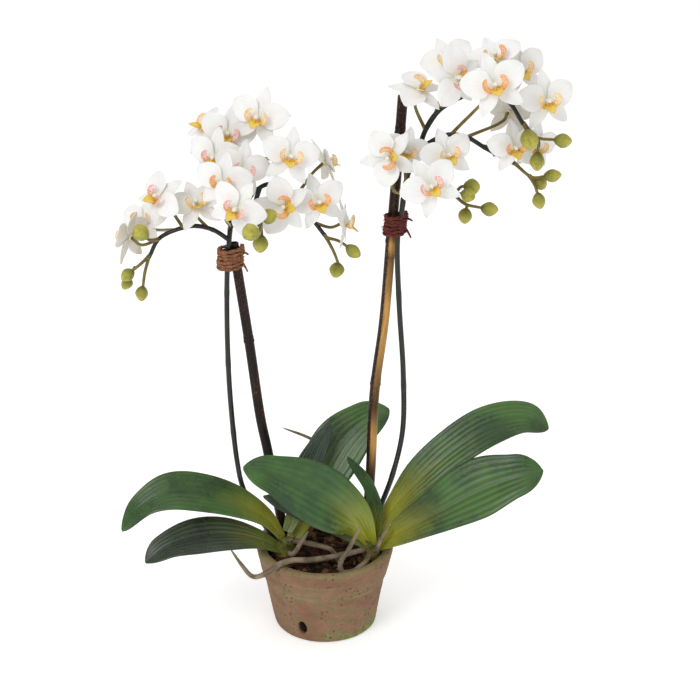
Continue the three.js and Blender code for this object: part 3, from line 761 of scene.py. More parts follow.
class Form:
    """A piece being made: its mesh in millimetres, its surface coordinates and its finishes."""

    def __init__(self, name: str, *finishes: Finish) -> None:
        """Starts an empty piece.

        Args:
            name: what the piece is called.
            finishes: its finishes, the first one the main one.
        """
        self.name = name
        self.finishes = finishes
        self.bm = bmesh.new()
        self.way = self.bm.verts.layers.float_vector.new("way")
        self.tint = self.bm.verts.layers.float.new("tint")

    def finish_faces(self, verts: Sequence[bmesh.types.BMVert], slot: int) -> None:
        """Gives the faces between these vertices one of the piece's finishes."""
        for face in {f for v in verts for f in v.link_faces}:
            face.material_index = slot

    @staticmethod
    def rim(ring: Sequence[bmesh.types.BMVert]) -> list[bmesh.types.BMEdge]:
        """The edges that join a ring's vertices, in a steady order."""
        whole = set(ring)
        return list(dict.fromkeys(e for v in ring for e in v.link_edges if e.other_vert(v) in whole))

    def turned(self, rows: Sequence[tuple[float, float]], steps: int) -> None:
        """Turns a section about the upright axis. It is the first shape of its piece.

        Args:
            rows: the radius and height of each point of the section.
            steps: how many sides the turned shape has.
        """
        verts = [self.bm.verts.new((radius, 0, height)) for radius, height in rows]
        geom = [*verts, *(self.bm.edges.new(pair) for pair in zip(verts, verts[1:]))]
        about = {"cent": (0, 0, 0), "axis": (0, 0, 1), "angle": math.tau}
        bmesh.ops.spin(self.bm, geom=geom, steps=steps, use_merge=True, **about)
        bmesh.ops.remove_doubles(self.bm, verts=self.bm.verts[:], dist=0.001)

    def tube(
        self,
        centres: Sequence[Vector],
        radius: Callable[[float], float],
        sides: int,
        section: Callable[[float, float], float] | None = None,
        tint: Callable[[float], float] | None = None,
    ) -> None:
        """Sweeps a round section along a line and closes both ends.

        Args:
            centres: points along the line.
            radius: the radius at a share of the length.
            sides: how many sides the section has.
            section: what the radius is multiplied by at a heading and a share of the length.
            tint: the tint at a share of the length.
        """
        places = frames_along(centres)
        ring = list(bmesh.ops.create_circle(self.bm, segments=sides, radius=1.0)["verts"])
        ring.sort(key=lambda v: math.atan2(v.co.y, v.co.x))
        headings = [math.atan2(v.co.y, v.co.x) for v in ring]
        run = 0.0
        ends: list[list[bmesh.types.BMEdge]] = []
        for k, place in enumerate(places):
            share = k / (len(places) - 1)
            if k:
                run += (centres[k] - centres[k - 1]).length
                grown = bmesh.ops.extrude_edge_only(self.bm, edges=self.rim(ring))
                fresh = {g for g in grown["geom"] if isinstance(g, bmesh.types.BMVert)}
                ring = [
                    next(e.other_vert(v) for e in v.link_edges if e.other_vert(v) in fresh)
                    for v in ring
                ]
            for v, heading in zip(ring, headings):
                r = radius(share) * (section(heading, share) if section else 1.0)
                flat = Vector((math.cos(heading) * r, math.sin(heading) * r, 0))
                v.co = place @ flat
                v[self.way] = (flat + Vector((0, 0, run))) * MM
                v[self.tint] = tint(share) if tint else 0.0
            if k in (0, len(places) - 1):
                ends.append(self.rim(ring))
        for edges in ends:
            bmesh.ops.edgeloop_fill(self.bm, edges=edges)

    def blade(
        self,
        shape: Callable[[float, float], Vector],
        across: int,
        along: int,
        slot: int = 0,
        tint: float = 0.0,
    ) -> list[bmesh.types.BMVert]:
        """Bends a flat grid into a leaf-like sheet.

        Args:
            shape: the point at a place across, -1 to 1, and along, 0 to 1.
            across: how many strips the sheet has.
            along: how many rows it has.
            slot: which finish it takes.
            tint: the sheet's tint.

        Returns:
            The sheet's vertices.
        """
        grid = bmesh.ops.create_grid(self.bm, x_segments=across, y_segments=along, size=1.0)
        verts = grid["verts"]
        self.finish_faces(verts, slot)
        for v in verts:
            s, t = v.co.x, 0.5 - 0.5 * math.cos((v.co.y + 1) * math.pi / 2)
            v[self.way] = (s, t, 0)
            v[self.tint] = tint
            v.co = shape(s, t)
        before = set(self.bm.verts) - set(verts)
        bmesh.ops.remove_doubles(self.bm, verts=verts, dist=0.02)
        kept = [v for v in self.bm.verts if v not in before]
        faces = list({f for v in kept for f in v.link_faces})
        wanted = self.facing(faces)
        bmesh.ops.recalc_face_normals(self.bm, faces=faces)
        if wanted.dot(self.facing(faces)) < 0:
            bmesh.ops.reverse_faces(self.bm, faces=faces)
        return kept

    @staticmethod
    def facing(faces: Sequence[bmesh.types.BMFace]) -> Vector:
        """The way that a sheet faces, all its faces together.

        Args:
            faces: the sheet's faces.

        Returns:
            Their normals, each as long as its face is large, added up.
        """
        total = Vector()
        for face in faces:
            face.normal_update()
            total += face.normal * face.calc_area()
        return total

    def ball(self, centre: Vector, size: Triple, rings: int, slot: int = 0) -> None:
        """Adds a rounded lump.

        Args:
            centre: its middle.
            size: its half size along each axis.
            rings: how finely it is split.
            slot: which finish it takes.
        """
        place = Matrix.Translation(centre) @ Matrix.Diagonal((*size, 1.0))
        made = bmesh.ops.create_uvsphere(
            self.bm, u_segments=rings * 2, v_segments=rings, radius=1.0, matrix=place
        )
        for v in made["verts"]:
            v[self.way] = (v.co - centre) * MM
        self.finish_faces(made["verts"], slot)

    def set_down(
        self,
        replaces: Sequence[str] = (),
        place: Matrix | None = None,
        wall: float = 0.0,
        offset: float = -1.0,
        back: int = 0,
        smooth: int = 0,
        closed: bool = True,
    ) -> bpy.types.Object:
        """Turns the form into a finished piece of the object.

        Args:
            replaces: the solids that it stands for.
            place: where its own frame lies, in millimetres.
            wall: how thick its sheets become.
            offset: which side of a sheet the wall grows on.
            back: how many finishes later the far side of a wall is.
            smooth: how often its faces are split smoothly.
            closed: whether its faces are made to point out.

        Returns:
            The piece.
        """
        if closed:
            bmesh.ops.recalc_face_normals(self.bm, faces=self.bm.faces[:])
        scale = Matrix.Diagonal((MM, MM, MM, 1.0))
        self.bm.transform(scale @ (place or Matrix.Identity(4)))
        for face in self.bm.faces:
            face.smooth = True
        mesh = bpy.data.meshes.new(self.name)
        self.bm.to_mesh(mesh)
        self.bm.free()
        for finish in self.finishes:
            mesh.materials.append(finish.build())
        piece = bpy.data.objects.new(self.name, mesh)
        bpy.context.scene.collection.objects.link(piece)
        if wall:
            thick = piece.modifiers.new("wall", "SOLIDIFY")
            thick.thickness = wall * MM
            thick.offset = offset
            thick.material_offset = back
            thick.material_offset_rim = back
        if smooth:
            finer = piece.modifiers.new("finer", "SUBSURF")
            finer.levels = finer.render_levels = smooth
        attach(piece, "root")
        if replaces:
            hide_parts(*replaces)
        LOG.info("%s: %d faces before its modifiers", self.name, len(mesh.polygons))
        return piece


@dataclass
class Pot:
    """The turned clay pot, a little uneven, with its collar, rolled rim and drain holes."""

    top_radius: float = 57.5
    base_radius: float = 43.4
    height: float = 72.0
    wall: float = 8.0
    floor: float = 9.0
    collar: float = 44.0
    drain_height: float = 13.5
    drain_size: tuple[float, float] = (8.0, 13.0)
    drains: tuple[float, ...] = (-114.0, 6.0, 126.0)

    def profile(self) -> list[tuple[float, float]]:
        """The pot's section, from the middle of its foot, up the outside and down the inside.

        Returns:
            The radius and height of each point.
        """
        foot, flare = 1.8, 7.6
        outer = [(self.base_radius - foot, 0), (self.base_radius - 0.5, 0.5), (self.base_radius, foot)]
        for i in range(1, 15):
            outer.append((self.base_radius + flare * i / 14, foot + (self.collar - foot) * i / 14))
        neck, band_low, band_height = 52.6, 46.8, 22.0
        band = [(51.4, 44.9), (52.1, 45.7), (neck, band_low)]
        for i in range(1, 7):
            band.append((neck + (self.top_radius - neck) * i / 7, band_low + band_height * i / 7))
        roll = 2.6
        rim = [
            (self.top_radius - roll + roll * math.cos(a), self.height - roll + roll * math.sin(a))
            for a in (i * math.pi / 10 for i in range(0, 6))
        ]
        lip = [(self.top_radius - 5.2, self.height - 0.2), (self.top_radius - 7.2, self.height - 1.4)]
        low, high = self.base_radius - self.wall, self.top_radius - self.wall
        inner = [(high - (high - low) * i / 10, 69 - 60 * i / 10) for i in range(0, 11)]
        floor = [(18, self.floor), (0, self.floor)]
        return [(0, 0), (20, 0), *outer, *band, *rim, *lip, *inner, *floor]

    def build(self) -> None:
        """Turns the section, bores the drain holes and makes the wall uneven."""
        form = Form("pot_shell", CLAY)
        form.turned(self.profile(), 144)
        piece = form.set_down(["pot"])
        self.bore(piece)
        self.weather(piece.data)

    def bore(self, piece: bpy.types.Object) -> None:
        """Cuts the drain holes through the wall.

        Args:
            piece: the pot, with no modifiers.
        """
        wide, tall = self.drain_size
        shape = Matrix.Diagonal((1, wide / 2, tall / 2, 1)) @ Matrix.Rotation(math.pi / 2, 4, "Y")
        out = Matrix.Translation((self.base_radius - 0.4, 0, self.drain_height))
        rod_form = {"cap_ends": True, "segments": 40, "radius1": 1, "radius2": 1, "depth": 34}
        for angle in self.drains:
            bm = bmesh.new()
            turn = Matrix.Rotation(math.radians(angle), 4, "Z") @ out
            bmesh.ops.create_cone(bm, matrix=turn @ shape, **rod_form)
            bm.transform(Matrix.Diagonal((MM, MM, MM, 1)))
            rod = bpy.data.objects.new("drain_rod", bpy.data.meshes.new("drain_rod"))
            bm.to_mesh(rod.data)
            bm.free()
            bpy.context.scene.collection.objects.link(rod)
            cutter = piece.modifiers.new("drain", "BOOLEAN")
            cutter.object = rod
            cutter.solver = "EXACT"
            bpy.context.view_layer.update()
            cut = bpy.data.meshes.new_from_object(piece.evaluated_get(bpy.context.evaluated_depsgraph_get()))
            piece.modifiers.clear()
            piece.data = cut
            bpy.data.objects.remove(rod)

    def weather(self, mesh: bpy.types.Mesh) -> None:
        """Moves the wall in and out a little, as a hand-thrown pot's wall is.

        Args:
            mesh: the pot's mesh, in metres.
        """
        for v in mesh.vertices:
            flat = Vector((v.co.x, v.co.y, 0))
            if flat.length < 0.03 or v.co.z < 0.0004:
                continue
            broad = noise.noise(v.co * 22)
            fine = noise.noise(Vector((v.co.x * 60, v.co.y * 60, v.co.z * 330)))
            v.co += flat.normalized() * (broad * 0.0006 + fine * 0.00028 - 0.0004)
        mesh.shade_smooth()


@dataclass
class PottingMix:
    """The bark in the pot: a dark filling, a heap of loose chips and the bark in the drain holes."""

    top: float = 63.0
    radius: float = 47.6
    chips: int = 300
    spread: float = 44.5
    seed: int = 41

    def build(self) -> None:
        """Makes the filling and the chips as one piece."""
        form = Form("bark_mix", BARK)
        self.filling(form)
        self.plugs(form)
        source = random.Random(self.seed)
        for i in range(self.chips):
            self.chip(form, i, source)
        form.set_down(["potting_mix"])

    def filling(self, form: Form) -> None:
        """The settled mix below the chips.

        Args:
            form: the piece that it joins.
        """
        top = [(self.radius, self.top - 1), (30, self.top), (12, self.top + 0.6), (0, self.top + 1)]
        form.turned([(0, 9.4), (35, 9.4), *top], 48)

    def plugs(self, form: Form) -> None:
        """The bark that shows in each drain hole.

        Args:
            form: the piece that it joins.
        """
        out, size = Matrix.Translation((39.5, 0, Pot.drain_height)), Matrix.Diagonal((6.3, 3.5, 6.0, 1))
        for angle in Pot.drains:
            turn = Matrix.Rotation(math.radians(angle), 4, "Z")
            made = bmesh.ops.create_icosphere(form.bm, subdivisions=3, radius=1, matrix=turn @ out @ size)
            for v in made["verts"]:
                v.co += v.co.normalized() * noise.noise(v.co * 0.6) * 0.5

    def chip(self, form: Form, index: int, source: random.Random) -> None:
        """One craggy chip, laid on the heap.

        Args:
            form: the piece that it joins.
            index: its turn, which spreads the chips evenly.
            source: where its size and lie come from.
        """
        far = math.sqrt((index + 0.5) / self.chips) * self.spread
        angle = index * GOLDEN_ANGLE + source.random() * 0.3
        long = 6 + source.random() * 10
        size = (long, long * (0.45 + source.random() * 0.35), 1.8 + source.random() * 3.2)
        lift = self.top + 0.6 + source.random() * 2.8 - far * 0.015
        spin = Matrix.Rotation(source.random() * math.tau, 4, "Z")
        tilt = Matrix.Rotation(source.uniform(-0.5, 0.5), 4, "X")
        tilt = tilt @ Matrix.Rotation(source.uniform(-0.4, 0.4), 4, "Y")
        place = Matrix.Translation((far * math.cos(angle), far * math.sin(angle), lift)) @ tilt @ spin
        shade = source.random()
        made = bmesh.ops.create_uvsphere(form.bm, u_segments=8, v_segments=5, radius=1.0)
        for v in made["verts"]:
            block = Vector([math.copysign(abs(c) ** 0.6, c) * half / 2 for c, half in zip(v.co, size)])
            v.co = place @ block
            crag = noise.noise(v.co * 0.55) * 0.45
            v.co += (v.co - place.translation) * crag
            v[form.tint] = shade


@dataclass
class Stake:
    """A bamboo cane with its node rings and an open top."""

    side: Side
    points: tuple[Triple, ...]
    rings: tuple[float, ...]
    scars: tuple[tuple[float, float], ...] = ()
    radius: float = 4.0
    length: float = 420.0
    ring_width: float = 1.6

    def build(self) -> None:
        """Sweeps the cane and hollows its top."""
        finish = BAMBOO_LEFT if self.side is Side.LEFT else BAMBOO_RIGHT
        form = Form(f"cane_{self.side.value}", finish)
        form.tube(Route(self.points).spaced(400), self.thickness, sides=20, tint=self.scarred)
        top = max(form.bm.faces, key=lambda f: f.calc_center_median().z if len(f.verts) > 4 else -1)
        down = -top.normal.copy() if top.normal.z > 0 else top.normal.copy()
        bmesh.ops.inset_region(form.bm, faces=[top], thickness=1.3)
        deep = bmesh.ops.extrude_face_region(form.bm, geom=[top])
        fresh = [g for g in deep["geom"] if isinstance(g, bmesh.types.BMVert)]
        bmesh.ops.translate(form.bm, verts=fresh, vec=down * 7)
        bmesh.ops.delete(form.bm, geom=[top], context="FACES_ONLY")
        form.set_down([f"stake_{self.side.value}"])

    def thickness(self, share: float) -> float:
        """The radius, swollen at each node ring.

        Args:
            share: how far along the cane.

        Returns:
            The radius there.
        """
        swell = 0.0
        for ring in self.rings:
            off = (share - ring) * self.length / self.ring_width
            swell += 0.55 * math.exp(-(off**2)) + 0.3 * math.exp(-((off - 2.6) ** 2))
        return self.radius + 0.15 - 0.2 * share + swell

    def scarred(self, share: float) -> float:
        """How much pale scar shows at a share of the length."""
        return max((math.exp(-(((share - at) / wide) ** 2)) for at, wide in self.scars), default=0.0)


@dataclass
class Tie:
    """Twine wound tightly round a stem and its cane, with frayed ends."""

    side: Side
    at: Triple
    lean: float
    heading: float
    long: float
    wide: float
    height: float
    turns: int = 6
    fibres: int = 90

    def build(self) -> None:
        """Winds the twine, with two tails and loose fibres."""
        finish = COPPER_TWINE if self.side is Side.LEFT else MAROON_TWINE
        form = Form(f"binding_{self.side.value}", finish)
        place = (
            Matrix.Translation(self.at)
            @ Matrix.Rotation(math.radians(self.lean), 4, "Y")
            @ Matrix.Rotation(math.radians(self.heading), 4, "Z")
        )
        source = random.Random(self.side.value)
        pitch = self.height / self.turns
        thick = pitch * 0.47
        steps = self.turns * 90
        wound = []
        for i in range(steps + 1):
            a = i / steps * self.turns * math.tau
            loose = 1 + 0.03 * math.sin(a * 1.7)
            rise = -self.height / 2 + self.height * i / steps + 0.3 * math.sin(a * 2.3)
            x = (self.long - thick) * loose * math.cos(a)
            y = (self.wide - thick) * loose * math.sin(a)
            wound.append(place @ Vector((x, y, rise)))

        def plied(a: float, share: float) -> float:
            """How far the two plies stand out at a heading and a share of the length."""
            return 1 + 0.26 * math.cos(2 * a - share * self.turns * 52)

        form.tube(wound, lambda share: thick, sides=8, section=plied)
        for sign in (-1, 1):
            start = place @ Vector((self.long * 0.7, -self.wide * 0.6, sign * self.height * 0.25))
            reach = Vector((3.2, -2.4, sign * 2.2 - 2))
            end = start + reach * 1.3 + Vector((0, 0, -1))
            tail = Route((tuple(start), tuple(start + reach * 0.6), tuple(end)))
            form.tube(tail.spaced(12), lambda share: thick * (0.85 - 0.35 * share), sides=8)
        for _ in range(self.fibres):
            a, z = source.random() * math.tau, source.uniform(-0.5, 0.5) * self.height
            out = Vector((math.cos(a), math.sin(a), 0))
            foot = Vector((self.long * out.x, self.wide * out.y, z)) * 0.97
            bend = out * source.uniform(0.6, 2.2) + Vector((0, 0, source.uniform(-1.5, 1.5)))
            hair = Route(tuple(tuple(place @ (foot + bend * reach)) for reach in (0, 0.6, 1.2)))
            form.tube(hair.spaced(4), lambda share: 0.16 - 0.1 * share, sides=3)
        form.set_down([f"tie_{self.side.value}"])


@dataclass
class Leaf:
    """One leathery leaf along its midrib."""

    name: str
    rows: tuple[tuple[Triple, float, Triple], ...]
    finish: LeafFinish = LEAF_FACE
    thickness: float = 1.4
    fold: float = 0.25
    fullness: float = 1.03
    rib_height: float = 0.28

    def half_width(self, t: float) -> float:
        """Half the width, which runs out in a pointed tip.

        Args:
            t: how far along the leaf.

        Returns:
            Half the width there.
        """
        last = len(self.rows) - 1
        place = t * last
        if place >= last - 1:
            off = place - (last - 1)
            return self.fuller(t) * self.rows[-2][1] * max(1 - off**1.9, 0) ** 0.66
        rows = [(float(i), half) for i, (_, half, _) in enumerate(self.rows)]
        return self.fuller(t) * between(rows[:-1], place)

    def fuller(self, t: float) -> float:
        """How much wider the living blade is than its plain solid, most past the middle."""
        return self.fullness * (1 + 0.12 * math.sin(math.pi * t**1.4))

    def build(self) -> None:
        """Bends the blade and gives it its thickness."""
        route = Route(tuple(p for p, _, _ in self.rows))
        seed = sum(map(ord, self.name)) * 0.37

        def shape(s: float, t: float) -> Vector:
            """The point of the blade at a place across and along.

            Args:
                s: the place across, from -1 to 1.
                t: the place along, from 0 to 1.

            Returns:
                The point.
            """
            centre = route.at(t)
            ahead = (route.at(min(t + 0.01, 1)) - route.at(max(t - 0.01, 0))).normalized()
            place = t * (len(self.rows) - 1)
            k = min(int(place), len(self.rows) - 2)
            look = Vector(self.rows[k][2]).lerp(Vector(self.rows[k + 1][2]), place - k)
            side = ahead.cross(look).normalized()
            up = side.cross(ahead).normalized()
            half = self.half_width(t)
            lift = half * self.fold * (math.sqrt(s * s + 0.012) - 0.11) - half * 0.07 * s**4
            wave = 0.7 * noise.noise(Vector((t * 5, s * 1.5, seed))) * abs(s) ** 1.5
            fade = math.sin(math.pi * min(t * 1.02, 1)) ** 0.5
            ribs = self.rib_height * math.cos(s * LEAF_RIBS * math.tau) * fade
            groove = -0.5 * math.exp(-((s * 13) ** 2)) * (1 - t)
            return centre + side * s * half + up * (lift + wave + ribs + groove)

        form = Form(self.name.replace("leaf", "blade"), self.finish, LEAF_BACK)
        form.blade(shape, across=34, along=42)
        form.set_down([self.name], wall=self.thickness, offset=0.0, back=1, smooth=1, closed=False)


@dataclass
class Crown:
    """A plant's short base: wrapped leaf sheaths and its air roots."""

    side: Side
    at: Triple
    roots: tuple[tuple[tuple[Triple, ...], tuple[float, ...]], ...]
    headings: tuple[float, ...] = (200, 20, 290, 110, 250, 340)

    def build(self) -> None:
        """Makes the sheaths and the roots as two pieces."""
        self.sheaths()
        form = Form(f"roots_{self.side.value}", ROOT_SKIN)
        for number, (points, radii) in enumerate(self.roots):
            self.root(form, number, points, radii)
        form.set_down()

    def root(self, form: Form, number: int, points: tuple[Triple, ...], radii: tuple[float, ...]) -> None:
        """One air root.

        Args:
            form: the piece that it joins.
            number: its place in the list, which gives it knots of its own.
            points: the line that it follows.
            radii: its radii, evenly spaced along it.
        """
        rows = [(i / (len(radii) - 1), r) for i, r in enumerate(radii)]

        def thickness(share: float) -> float:
            """The root's radius at a share of its length, a little knotted and closed at its tip."""
            knots = 1 + 0.13 * noise.noise(Vector((share * 17, number * 3.1, 0)))
            return between(rows, share) * knots * max(1 - share**14, 0.04) ** 0.5

        form.tube(Route(points).spaced(60), thickness, sides=12, tint=lambda share: max(share * 5 - 4, 0))

    def sheaths(self) -> None:
        """The heart and the six sheaths that wrap it."""
        form = Form(f"crown_{self.side.value}", SHEATH)
        centre = Vector(self.at)
        heart = [centre + Vector((0, 0, -17.5 + 21 * i / 22)) for i in range(23)]
        rows = [(0.0, 5.0), (0.15, 6.6), (0.5, 7.0), (0.8, 5.2), (1.0, 2.2)]
        form.tube(
            heart, lambda t: between(rows, t), sides=36, section=lambda a, t: 1 + 0.03 * math.sin(a * 12)
        )
        for v in form.bm.verts:
            a = math.atan2(v.co.y - centre.y, v.co.x - centre.x)
            v[form.way] = (a / math.tau, (v.co.z - centre.z) / 36 + 0.5, 0)
        for number, heading in enumerate(self.headings):
            self.sheath(form, number, heading)
        form.set_down([f"plant_base_{self.side.value}"])

    def sheath(self, form: Form, number: int, heading: float) -> None:
        """One sheath, wrapped a little higher and further out than the one before it.

        Args:
            form: the piece that it joins.
            number: its turn from the foot up.
            heading: the way that its middle faces, in degrees.
        """
        base, high = -17 + number * 2.5, -2 + number * 1.9

        def shape(s: float, t: float) -> Vector:
            """The point of a sheath at a place across and along.

            Args:
                s: the place across, from -1 to 1.
                t: the place along, from 0 to 1.

            Returns:
                The point.
            """
            z = base + (high - base) * t
            a = math.radians(heading) + s * 1.35 * max(1 - t**2.2, 0)
            out = 7.2 + 0.15 * number - 0.09 * max(z, 0) ** 1.1 + 3.2 * t**4
            out += 0.12 * math.cos(s * 18)
            return Vector(self.at) + Vector((out * math.cos(a), out * 0.9 * math.sin(a), z))

        form.blade(shape, across=12, along=9)


@dataclass
class Spray:
    """A flower stem with its side branches, bud twigs, buds and bloom stalks."""

    side: Side
    stem: tuple[Triple, ...]
    branches: tuple[tuple[Triple, ...], ...]
    twigs: tuple[tuple[Triple, ...], ...]
    buds: tuple[tuple[Triple, Triple, float], ...]
    blooms: tuple["Bloom", ...]
    nodes: tuple[float, ...] = (0.2, 0.36, 0.52, 0.68, 0.82)
    stalk_radius: float = 1.15

    def build(self) -> None:
        """Makes the stems, the stalks and the buds as three pieces."""
        stems = Form(f"stem_{self.side.value}", DARK_STEM)
        rows = list(zip((0, 0.2, 0.4, 0.6, 0.8, 1), (2.6, 2.2, 2.2, 2.1, 2.0, 1.6)))
        stems.tube(Route(self.stem).spaced(230), lambda t: between(rows, t) * self.jointed(t), sides=14)
        for branch in self.branches:
            stems.tube(Route(branch).spaced(60), lambda t: (1.9 - 0.3 * t) * self.jointed(t), sides=12)
        stems.set_down([f"spray_{self.side.value}"])
        stalks = Form(f"stalks_{self.side.value}", OLIVE_STALK)
        for twig in self.twigs:
            line = Route(twig).spaced(24)
            stalks.tube(line, lambda t: 1.4 - 0.25 * t + 0.3 * math.exp(-((t * 7) ** 2)), sides=10)
        for bloom in self.blooms:
            line = Route(bloom.stalk()).spaced(26)
            stalks.tube(line, lambda t: self.stalk_radius + 0.35 * (1 - t) ** 2 + 0.35 * t**6, sides=10)
        stalks.set_down()
        buds = Form(f"buds_{self.side.value}", BUD_SKIN)
        for bud in self.buds:
            self.bud(buds, *bud)
        buds.set_down()

    def jointed(self, share: float) -> float:
        """How much wider a stem is at its joints than between them."""
        return 1 + sum(0.09 * math.exp(-(((share - n) * 90) ** 2)) for n in self.nodes)

    def bud(self, form: Form, base: Triple, tip: Triple, width: float) -> None:
        """A closed bud with three blunt seams and a pointed tip.

        Args:
            form: the piece that it joins.
            base: where it sits on its twig.
            tip: its point.
            width: how wide it is.
        """
        start, long = Vector(base), Vector(tip) - Vector(base)
        turn = long.to_track_quat("Z", "Y").to_matrix().to_4x4()
        made = bmesh.ops.create_uvsphere(form.bm, u_segments=24, v_segments=16, radius=1.0)
        shares = (0, 0.05, 0.2, 0.42, 0.62, 0.82, 0.94, 1)
        rows = list(zip(shares, (0, 0.16, 0.34, 0.47, 0.45, 0.31, 0.16, 0)))
        for v in made["verts"]:
            share = (v.co.z + 1) / 2
            a = math.atan2(v.co.y, v.co.x)
            seam = math.cos(1.5 * a) ** 8
            wide = 0.0 if abs(v.co.z) > 0.9999 else between(rows, share) * width
            wide *= 1 + 0.1 * seam + 0.025 * math.cos(9 * a)
            v[form.way] = (seam, share, a)
            v.co = start + turn @ Vector((wide * math.cos(a), wide * math.sin(a), share * long.length))


@dataclass(frozen=True)
class Bloom:
    """One moth orchid bloom. Its own frame faces +Z with the top sepal toward +Y."""

    name: str
    at: Triple
    face: Triple
    top: Triple
    size: float
    reflex: float
    root: Triple
    via: Triple | None = None
    dress: LipDress = LipDress.CREAM

    def place(self) -> Matrix:
        """The bloom's frame in the object, scaled to its size.

        Returns:
            The frame, in millimetres.
        """
        z = Vector(self.face).normalized()
        y = (Vector(self.top) - z * Vector(self.top).dot(z)).normalized()
        turn = Matrix((y.cross(z), y, z)).transposed().to_4x4()
        return Matrix.Translation(self.at) @ turn @ Matrix.Diagonal((self.size,) * 3 + (1.0,))

    def stalk(self) -> tuple[Triple, ...]:
        """The stalk that carries the bloom, up to the back of its knob.

        Returns:
            The points that it runs through.
        """
        z, at = Vector(self.face).normalized(), Vector(self.at)
        back = 2.9 * self.size
        bend = at - z * (back + 8) - Vector((0, 0, 3))
        middle = (self.via,) if self.via else ()
        return (self.root, *middle, tuple(bend), tuple(at - z * (back - 0.6)))

    def build(self) -> None:
        """Makes the sepals and petals as one piece, the lip as a second and the column as a third."""
        source = random.Random(self.name)
        lean = self.reflex
        petal = [(1.0, 0.3), (6.5, 0.9), (13, 1.2 - 0.4 * lean), (20.5, 0.2 - lean), (24.5, -1 - 2 * lean)]
        sepal = [(1.0, -0.4), (8, -0.5 - 0.3 * lean), (17, -1.4 - lean), (24, -2.4 - 2 * lean)]
        tepals = Form(f"tepals_{self.name}", TEPAL, TEPAL_BACK_PAINTED_SHADE)
        for heading in (90, 230, 310):
            self.tepal(tepals, source, heading, sepal, long=24, wide=6.2, bias=0.86, blunt=0.72)
        for heading in (20, 160):
            self.tepal(tepals, source, heading, petal, long=24.5, wide=10.6, bias=0.92, blunt=0.56)
        tepals.set_down([f"bloom_{self.name}"], self.place(), wall=0.5, back=1, smooth=1, closed=False)
        lip = Form(f"lip_{self.name}", LIPS[self.dress], MIDDLE_LOBE)
        self.lip(lip, source)
        lip.set_down((), self.place(), wall=0.45, offset=0.0, smooth=1, closed=False)
        heart = Form(f"column_{self.name}", COLUMN, MIDDLE_LOBE)
        self.column(heart)
        heart.set_down((), self.place(), smooth=1)

    def tepal(
        self,
        form: Form,
        source: random.Random,
        heading: float,
        rows: Sequence[tuple[float, float]],
        long: float,
        wide: float,
        bias: float,
        blunt: float,
    ) -> None:
        """One sepal or petal.

        Args:
            form: the piece that it joins.
            source: where its own bends come from.
            heading: the way that it points.
            rows: how far forward it stands along its length.
            long: how far it reaches from the heart.
            wide: half its width.
            bias: where its widest place is.
            blunt: how blunt its tip is, the lower the blunter.
        """
        turn = Matrix.Rotation(math.radians(heading), 3, "Z")
        twist, cup = source.uniform(-0.16, 0.16), source.uniform(-0.02, 0.2)
        phase = source.random() * 40
        reach = long * source.uniform(0.97, 1.0)

        def shape(s: float, t: float) -> Vector:
            """The point of the blade at a place across and along.

            Args:
                s: the place across, from -1 to 1.
                t: the place along, from 0 to 1.

            Returns:
                The point.
            """
            far = 1.0 + (reach - 1.0) * t
            half = wide * max(math.sin(math.pi * (0.04 + 0.96 * t) ** bias), 0) ** blunt
            half *= min(0.32 + t * 3.4, 1)
            lift = between(rows, far) + cup * half * (s * s - 0.3) + twist * half * s * t
            ruffle = noise.noise(Vector((t * 4, s * 1.3, phase))) * (0.25 + 0.8 * abs(s) * t)
            crease = -0.35 * math.exp(-((s * 5) ** 2)) * math.sin(math.pi * min(t * 1.1, 1))
            return turn @ Vector((far, -half * s, lift + ruffle * 1.1 + crease))

        form.blade(shape, across=8, along=13)

    def lip(self, form: Form, source: random.Random) -> None:
        """The lip: two horned side lobes round the column, and the arrow of the middle lobe.

        Args:
            form: the piece that they join.
            source: where the side lobes' tints come from.
        """
        spine = Route(
            ((1.0, -3.2, 1.4), (4.4, -3.9, 3.2), (7.2, -1.4, 5.0), (7.5, 2.6, 6.2), (5.0, 5.4, 6.6))
        )
        for sign in (-1, 1):

            def side_lobe(s: float, t: float, sign: int = sign) -> Vector:
                """The point of a side lobe, which curves round the column like a horn.

                Args:
                    s: the place across, from -1 to 1.
                    t: the place along, from 0 to 1.
                    sign: which side the lobe is on.

                Returns:
                    The point.
                """
                ahead = (spine.at(min(t + 0.02, 1)) - spine.at(max(t - 0.02, 0))).normalized()
                out = ahead.cross(Vector((0, 0, 1))).normalized()
                wide = (out * 0.8 + Vector((0, 0, 0.55))).normalized()
                half = 2.7 * max(math.sin(math.pi * (0.16 + 0.84 * t) ** 1.25), 0) ** 0.42
                point = spine.at(t) + wide * s * half + wide.cross(ahead) * (0.3 * s * s * half)
                return Vector((point.x * sign, point.y, point.z))

            made = form.blade(side_lobe, across=7, along=11, tint=source.uniform(0.8, 1.0))
            if sign < 0:
                bmesh.ops.reverse_faces(form.bm, faces=list({f for v in made for f in v.link_faces}))
        keel = Route(((0, -2.2, 1.2), (0, -3.9, 3.8), (0, -5.9, 7.0), (0, -7.9, 9.6), (0, -8.8, 11.6)))
        rows = list(zip((0, 0.3, 0.42, 0.52, 0.62, 0.8, 0.93, 1), (1.8, 1.7, 3.4, 5.0, 4.4, 2.3, 0.8, 0.1)))

        def middle_lobe(s: float, t: float) -> Vector:
            """The point of the middle lobe, an arrow with raised, swept shoulders.

            Args:
                s: the place across, from -1 to 1.
                t: the place along, from 0 to 1.

            Returns:
                The point.
            """
            half = between(rows, t)
            swept = t - 0.15 * s * s * math.exp(-(((t - 0.52) / 0.16) ** 2))
            off = Vector((s * half, abs(s) ** 1.6 * half * 0.4, -abs(s) * half * 0.12))
            return keel.at(max(swept, 0)) + off

        form.blade(middle_lobe, across=9, along=15, slot=1, tint=0.5)

